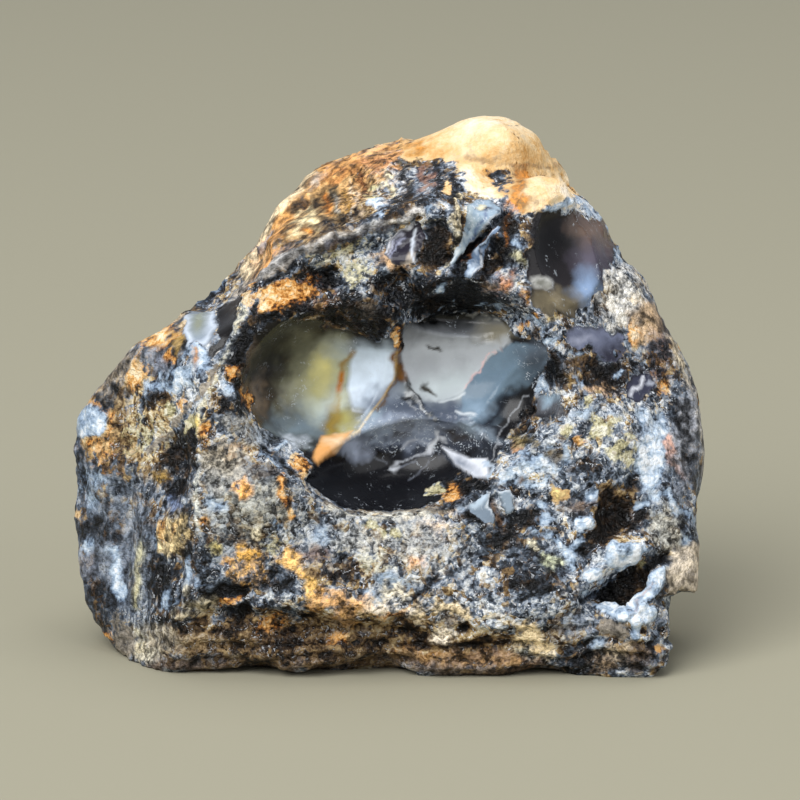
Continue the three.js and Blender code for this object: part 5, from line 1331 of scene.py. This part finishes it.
# What lies on the host rock, from the lowest to the topmost
FINISHES = (
    # Old outer skin of the rock: worn smooth, grey-tan, with faint streaks along it
    Mottled(Stuff.SKIN, ("#35322e", "#6b655d", "#8f877c", "#b4ab9d"),
            {"streaks": 0.3, "lumps": 0.4, "fine": 0.3}, 0.0, (0.25, 0.5), (0.5, 0.6)),
    # Grains of yellow-green to cream opal packed together: matt, lumpy, sandy
    Mottled(Stuff.OCHRE, ("#2b2719", "#77704f", "#b5ad84", "#dcd6b3", "#f6f2df"),
            {"speckle": 0.4, "lumps": 0.3, "fine": 0.2, Stuff.OCHRE: 0.3}, -0.16, (0.2, 0.6), (0.4, 0.7), (0.8, 0.3)),
    # Limonite in the pores and cracks: earthy crust from dark brown through rust to orange-cream
    Mottled(Stuff.RUST, ("#24150a", "#7a4a20", "#c4843d", "#e8b06a", "#f6cf98", "#fbe9c6"),
            {"speckle": 0.4, "lumps": 0.3, "fine": 0.24, Stuff.RUST: 0.36}, -0.26, (0.25, 0.6), (0.5, 0.8), (0.8, 0.3)),
    # White to pale blue opal in veins and lenses: waxy, banded, faintly see-through
    Mottled(Stuff.MILK, ("#1e2530", "#5a6a80", "#93a7be", "#c0d0e0", "#f3f7fb"),
            {"lumps": 0.40, "fine": 0.16, "broad": 0.16, "clast.tone": 0.2, Stuff.MILK: 0.5},
            -0.3, (0.2, 0.5), (0.45, 0.28), (0.7, 0.28)),
    # Opal that weathered to chalk: a smooth, dull rind, peach-cream with brown specks
    SpeckledRind(Stuff.CHALK, ("#8e5f2c", "#cb9857", "#e6c089", "#f2d8ae", "#faecd6"),
                 {"broad": 0.22, "lumps": 0.16, "fine": 0.12, Stuff.WARM: -0.35},
                 0.32, (0.35, 0.6), (0.86, 0.74), (0.5, 0.2)),
)  # fmt: skip


@dataclass(frozen=True)
class OpalInMatrix:
    """The whole stone's material: host rock with every other finish laid over it where it was painted."""

    ior: float = 1.45
    specular: float = 0.24
    coat: float = 0.2  # the wet look of the glassy opal
    gloss: float = 0.14
    film: float = 0.82  # how much a film hides of what is under it

    def build(self) -> bpy.types.Material:
        """Builds the material.

        Returns:
            The material, ready for the stone.
        """
        material = bpy.data.materials.new(SLOT)
        material.use_nodes = True
        tree = material.node_tree
        tree.nodes.clear()
        ground = Ground(tree)
        glass = ground.share(Stuff.OPAL, ragged=0.25)
        surface = HostRock().surface(ground)
        for finish in FINISHES:
            surface = ground.lay(surface, finish.surface(ground), ground.share(finish.stuff, *finish.border))
        film = ground.total((ground.share(Stuff.GLAZE, 0.6, 0.5), self.film))
        surface = ground.lay(surface, Glaze().surface(ground), film)
        surface = ground.lay(surface, DarkOpal().surface(ground), glass)
        shader = add_node(tree, "ShaderNodeBsdfPrincipled", {
            "Base Color": surface.colour,
            "Roughness": surface.roughness,
            "Normal": self.relief(ground),
            "IOR": self.ior,
            "Specular IOR Level": self.specular,
            "Coat Weight": ground.total((glass, self.coat)),
            "Coat Roughness": self.gloss,
        })  # fmt: skip
        add_node(tree, "ShaderNodeOutputMaterial", {"Surface": shader.outputs[0]})
        return material

    def relief(self, ground: Ground) -> Socket:
        """The grains' own relief, finer than the mesh: strong on the rock, faint on opal, chalk and skin."""
        rock = ground.total((Stuff.OPAL, -0.97), (Stuff.CHALK, -0.6), (Stuff.MILK, -0.5), (Stuff.SKIN, -0.5), start=1.0)
        grains = ground.total((ground.sand.middle, -0.20), (ground.fine, 0.12), start=0.2)
        return ground.node("ShaderNodeBump", {"Strength": 1.0, "Distance": MM, "Height": ground.times(grains, rock)})


@dataclass
class OpalStone:
    """The stone itself: a copy of the faceted solid made fine, carved, given its grain and painted."""

    view: FaceOnView = field(default_factory=FaceOnView)
    voxel: float = 0.72  # size of the even mesh that the facets are turned into
    facet_smoothing: int = 20  # rounds that take the facets away and keep the bulk
    factors: Place = (0.5, -0.53)  # of each such round: in, then out again
    snap_reach: float = 0.35  # how near a glassy wall a point lies to be drawn onto it
    snap_rounds: int = 3
    most_snap: float = 0.3  # how far one round may draw a point
    probe: float = 0.01  # step by which a wall's slope is felt
    least_slope: float = 0.05  # squared, where two walls meet
    cell: float = 5.0  # pixels of the grid that tells what is seen
    behind: Place = (1.5, 4.5)  # how far behind what is seen the picture's marks fade out
    near: Place = (-5.0, -1.0)  # y before which a point has them all the same
    least_toward: float = 0.26  # cosine to the line of sight from which a face counts as seen
    stray: float = 2.2  # pixels by which borders stray for a wobble of one
    rising: Place = (0.2, 1.0)  # heights between which the relief sets in above the flat base
    ground_reach: float = 0.15  # height below which a point is put on the ground
    marks: tuple[Mark, ...] = (*FOOT_MARKS, *LOBE_MARKS, *RIGHT_MARKS, *CREST_MARKS, *WINDOW_MARKS)
    hidden: tuple[Mark, ...] = HIDDEN_MARKS

    def build(self) -> Object:
        """Builds the finished piece.

        Returns:
            The stone, at the origin, in the frame.
        """
        piece = self.copy_solid()
        self.finish_with(piece, "REMESH", mode="VOXEL", voxel_size=self.voxel * MM, use_smooth_shade=True)
        for _ in range(self.facet_smoothing):
            for factor in self.factors:
                self.finish_with(piece, "SMOOTH", factor=factor, iterations=1)
        self.refine(piece, self.faces_ahead)
        self.refine(piece, self.faces_of_the_hollow)
        self.finish_with(piece, "SMOOTH", factor=0.5, iterations=2)
        self.carve(piece)
        self.dress(piece)
        piece.data.materials.append(OpalInMatrix().build())
        return piece

    def copy_solid(self) -> Object:
        """Copies the solid's mesh into a new object and merges its loose triangles.

        Returns:
            The copy.
        """
        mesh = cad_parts[NODE].data.copy()
        mesh.materials.clear()
        piece = bpy.data.objects.new("rough_stone", mesh)
        bpy.context.scene.collection.objects.link(piece)
        bpy.ops.object.select_all(action="DESELECT")
        piece.select_set(True)
        bpy.context.view_layer.objects.active = piece
        bpy.ops.object.mode_set(mode="EDIT")
        bpy.ops.mesh.select_all(action="SELECT")
        bpy.ops.mesh.remove_doubles(threshold=0.001 * MM)
        bpy.ops.object.mode_set(mode="OBJECT")
        return piece

    def finish_with(self, piece: Object, kind: str, **settings) -> None:
        """Adds a modifier and applies it.

        Args:
            piece: the object to change, which is the active one.
            kind: the modifier's type.
            settings: the modifier's settings.
        """
        modifier = piece.modifiers.new(kind.lower(), kind)
        for name, value in settings.items():
            setattr(modifier, name, value)
        bpy.ops.object.modifier_apply(modifier=modifier.name)

    def face_on(self, piece: Object) -> Array:
        """The vertices' places, face on, in millimetres."""
        return self.view.from_frame(gather(piece.data.vertices, "co"))

    def put_back(self, piece: Object, points: Array) -> None:
        """Moves the vertices to face-on places."""
        piece.data.vertices.foreach_set("co", self.view.to_frame(points).ravel())
        piece.data.update()

    def faces_ahead(self, centres: Array, normals: Array) -> Array:
        """Picks the faces that look towards the eye."""
        toward = normals @ (0, -math.cos(self.view.look_down), math.sin(self.view.look_down))
        return toward > self.least_toward

    def faces_of_the_hollow(self, centres: Array, normals: Array) -> Array:
        """Picks the faces of the glassy hollow and of what else has crisp edges.

        Args:
            centres: the faces' middles, face on.
            normals: the way each face looks, in the frame.

        Returns:
            True for each face that is picked.
        """
        seen = self.view.picture(centres)
        crisp = np.min([blot.outside(seen) for blot in CRISP_PLACES], axis=0)
        return (crisp < 0) & self.faces_ahead(centres, normals) & (centres[:, 1] < 0)

    def refine(self, piece: Object, pick: Callable[[Array, Array], Array]) -> None:
        """Subdivides the picked faces once.

        Args:
            piece: the object to refine, which is the active one.
            pick: tells from the faces' centres, face on, and normals which to refine.
        """
        mesh = piece.data
        chosen = pick(self.view.from_frame(gather(mesh.polygons, "center")), gather(mesh.polygons, "normal"))
        bpy.context.tool_settings.mesh_select_mode = (False, False, True)
        for parts in (mesh.vertices, mesh.edges):
            parts.foreach_set("select", np.zeros(len(parts), dtype=bool))
        mesh.polygons.foreach_set("select", chosen)
        bpy.ops.object.mode_set(mode="EDIT")
        bpy.ops.mesh.subdivide(number_cuts=1, smoothness=0)
        bpy.ops.object.mode_set(mode="OBJECT")

    def carve(self, piece: Object) -> None:
        """Draws the points near the glassy walls exactly onto them, so that they curve as glass breaks."""
        points = self.face_on(piece)

        def wall(places: Array) -> Array:
            """Distance from the nearest of the hollows' walls."""
            return np.min([hollow.distance(places) for hollow in GLASSY_HOLLOWS], axis=0)

        near = np.flatnonzero(np.abs(wall(points)) < self.snap_reach)
        for _ in range(self.snap_rounds):
            places = points[near]
            value = wall(places)
            slope = np.stack([(wall(places + self.probe * axis) - value) / self.probe for axis in np.eye(3)], axis=1)
            size = np.maximum((slope**2).sum(axis=1), self.least_slope)
            points[near] = places - slope * np.clip(value / size, -self.most_snap, self.most_snap)[:, None]
        self.put_back(piece, points)

    def share_seen(self, points: Array, seen: Array) -> Array:
        """How much of what the picture shows each point gets: none on the far side, all on the near one.

        Args:
            points: face-on places, one row each.
            seen: pixel column and row of each point.

        Returns:
            One share from 0 to 1 for each point.
        """
        count = int(self.view.picture_size / self.cell)
        across, down = np.clip((seen / self.cell).astype(int), 0, count - 1).T
        nearest = np.full((count, count), np.inf)
        np.minimum.at(nearest, (across, down), points[:, 1])
        behind = points[:, 1] - nearest[across, down]
        return 1 - np.minimum(smoothstep(*self.behind, behind), smoothstep(*self.near, points[:, 1]))

    def dress(self, piece: Object) -> None:
        """Raises the stone's relief and paints its attributes."""
        points = self.face_on(piece)
        seen = self.view.picture(points)
        stray = np.stack([fractal(points, 1.5, 3, shift) for shift in (0, 31, 67)], axis=1)
        front = self.share_seen(points, seen)
        paint = {name: np.zeros((len(points), 4)) for name in ATTRIBUTES}
        self.sprinkle(points, paint, 1 - front)
        lift = np.zeros(len(points))
        shares = [(mark, mark.cover(seen, stray[:, [0, 2]] * self.stray) * front) for mark in self.marks]
        shares += [(mark, mark.cover(points, stray) * (1 - front)) for mark in self.hidden]
        for mark, share in shares:
            self.lay(paint, mark, share)
            lift += share * mark.relief
        rough = self.roughness(points, paint)
        # Painted shade in the pits and painted light on the rises: pits are darker and rises paler
        for channel, height, most in ((0, -rough, 0.5), (1, rough, 0.4)):
            shade = paint["shade"][:, channel] + smoothstep(0.06, 0.4, height) * most
            paint["shade"][:, channel] = np.clip(shade, 0, 1)
        self.displace(piece, rough + lift)
        for name, values in paint.items():
            layer = piece.data.color_attributes.new(name, "FLOAT_COLOR", "POINT")
            layer.data.foreach_set("color", values.astype(np.float32).ravel())

    def lay(self, paint: dict[str, Array], mark: Mark, share: Array) -> None:
        """Lays one mark over what was painted before it.

        Args:
            paint: the attributes to paint.
            mark: the mark.
            share: how much of it each point has.
        """
        name, channel = mark.stuff.value
        strength = mark.look
        if isinstance(mark.look, str):
            paint[name][:, :3] += (np.array(linear(mark.look)[:3]) - paint[name][:, :3]) * share[:, None]
            strength = mark.strength
        if mark.stuff in (Stuff.TINT, Stuff.SHAPE):
            return
        share = share * strength
        if mark.stuff in COVERING:
            for other in (*COVERING, Stuff.GLAZE):
                paint[other.value[0]][:, other.value[1]] *= 1 - share
        paint[name][:, channel] = np.maximum(paint[name][:, channel], share)

    def sprinkle(self, points: Array, paint: dict[str, Array], amount: Array) -> None:
        """Scatters stains and shades over the sides that no mark describes.

        Args:
            points: face-on places, one row each.
            paint: the attributes to paint.
            amount: how much each point gets.
        """
        # Each stuff with its longest wave, the noise from which it shows, its shift and how much the front has too
        patches = ((R, 5.0, 0.12, 11, 0.0), (Y, 4.0, 0.14, 23, 0.0), (M, 4.6, 0.18, 37, 0.0),
                   (W, 6.5, -0.05, 41, 0.3), (P, 5.2, 0.0, 53, 0.3), (D, 4.2, 0.05, 61, 0.3))  # fmt: skip
        for stuff, wave, start, shift, everywhere in patches:
            name, channel = stuff.value
            value = smoothstep(start, start + 0.4, fractal(points, wave, 3, shift))
            paint[name][:, channel] = value * (0.85 * amount + everywhere)

    def roughness(self, points: Array, paint: dict[str, Array]) -> Array:
        """Height of the broken surface's grain. Heights and waves are in millimetres.

        Args:
            points: face-on places, one row each.
            paint: the painted attributes.

        Returns:
            One height for each point.
        """
        glass, fibre = paint["opal"][:, 3], paint["shade"][:, 3]
        chalk, skin, soft = paint["bloom"][:, 2], paint["cover"][:, 0], paint["cover"][:, 2]
        lumpy = 0.24 * fractal(points, 3.0, 3)
        chipped = 0.34 * (0.25 - np.abs(fractal(points, 1.7, 3, 5)))
        grainy = 0.18 * (0.45 - nearest_grain(points, 1.4)) + 0.13 * (0.45 - nearest_grain(points, 0.7, 9))
        streaky = 0.22 * fractal(points * (1, 1, 0.2), 1.1, 3)
        banded = 0.22 * np.sin(points[:, 2] * 4.4 + 4 * fractal(points, 6.0, 2)) * (1 - smoothstep(4, 8, points[:, 2]))
        rock = lumpy + (chipped + grainy + banded) * (1 - 0.6 * fibre) + streaky * fibre
        return rock * (1 - 0.97 * glass) * (1 - 0.8 * chalk) * (1 - 0.6 * skin) * (1 - 0.4 * soft)

    def displace(self, piece: Object, height: Array) -> None:
        """Moves each vertex out along its normal, and keeps the base flat on the ground.

        Args:
            piece: the stone.
            height: how far each vertex moves, in millimetres.
        """
        vertices = piece.data.vertices
        points = gather(vertices, "co")
        free = smoothstep(*self.rising, points[:, 2] / MM)
        points += gather(vertices, "normal") * (height * free * MM)[:, None]
        points[:, 2] = np.where(points[:, 2] < self.ground_reach * MM, 0.0, points[:, 2])
        vertices.foreach_set("co", points.ravel())
        piece.data.update()


@dataclass
class Studio:
    """A plain pale floor, a pale room and soft lights."""

    floor_size: float = 4.0  # metres
    floor_colour: str = "#9c9885"
    room: str = "#d6dbe4"
    room_strength: float = 0.46
    aim: Point = (0.0, 0.0, 0.025)  # the stone's middle, in metres
    # Name, place in metres, side in metres and power in watts
    softboxes: tuple[tuple[str, Point, float, float], ...] = (
        ("key", (-0.55, -0.75, 0.95), 1.1, 20.2),
        ("fill", (0.8, -0.6, 0.4), 0.9, 3.0),
        ("overhead", (0.1, 0.25, 1.2), 1.0, 6.0),
    )

    def build(self) -> None:
        """Builds the floor, the room and the lights."""
        self.add_floor()
        self.add_room()
        for softbox in self.softboxes:
            self.add_softbox(*softbox)

    def add_floor(self) -> None:
        """Adds the floor, which carries the stone and isn't part of it."""
        bpy.ops.object.select_all(action="DESELECT")
        bpy.ops.mesh.primitive_plane_add(size=self.floor_size)
        floor = bpy.context.object
        floor.name = "floor"
        material = bpy.data.materials.new("matt_paper")
        material.use_nodes = True
        paper = {"Base Color": linear(self.floor_colour), "Roughness": 0.9, "Specular IOR Level": 0.1}
        for name, value in paper.items():
            material.node_tree.nodes["Principled BSDF"].inputs[name].default_value = value
        floor.data.materials.append(material)

    def add_room(self) -> None:
        """Lights everything evenly from a pale room."""
        world = bpy.data.worlds.new("pale_room")
        world.use_nodes = True
        background = world.node_tree.nodes["Background"]
        background.inputs["Color"].default_value = linear(self.room)
        background.inputs["Strength"].default_value = self.room_strength
        bpy.context.scene.world = world

    def add_softbox(self, name: str, at: Point, size: float, power: float) -> None:
        """Adds a square soft light that faces the stone.

        Args:
            name: the light's name.
            at: its place in metres.
            size: its side in metres.
            power: its power in watts.
        """
        aim = Vector(self.aim) - Vector(at)
        bpy.ops.object.light_add(type="AREA", location=at, rotation=aim.to_track_quat("-Z", "Y").to_euler())
        light = bpy.context.object
        light.name = name
        light.data.size = size
        light.data.energy = power
        light.visible_camera = False


def main() -> None:
    """Builds the stone, its studio and the camera."""
    logging.basicConfig(level=logging.INFO, format="%(message)s")
    view = FaceOnView()
    view.add_camera()
    Studio().build()
    stone = OpalStone(view).build()
    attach(stone, BODY)
    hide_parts(NODE)
    stone.data.calc_loop_triangles()
    log.info("%s: %d triangles on %s", stone.name, len(stone.data.loop_triangles), BODY)
    bpy.context.scene.view_settings.view_transform = "Standard"


if __name__ == "__main__":
    main()
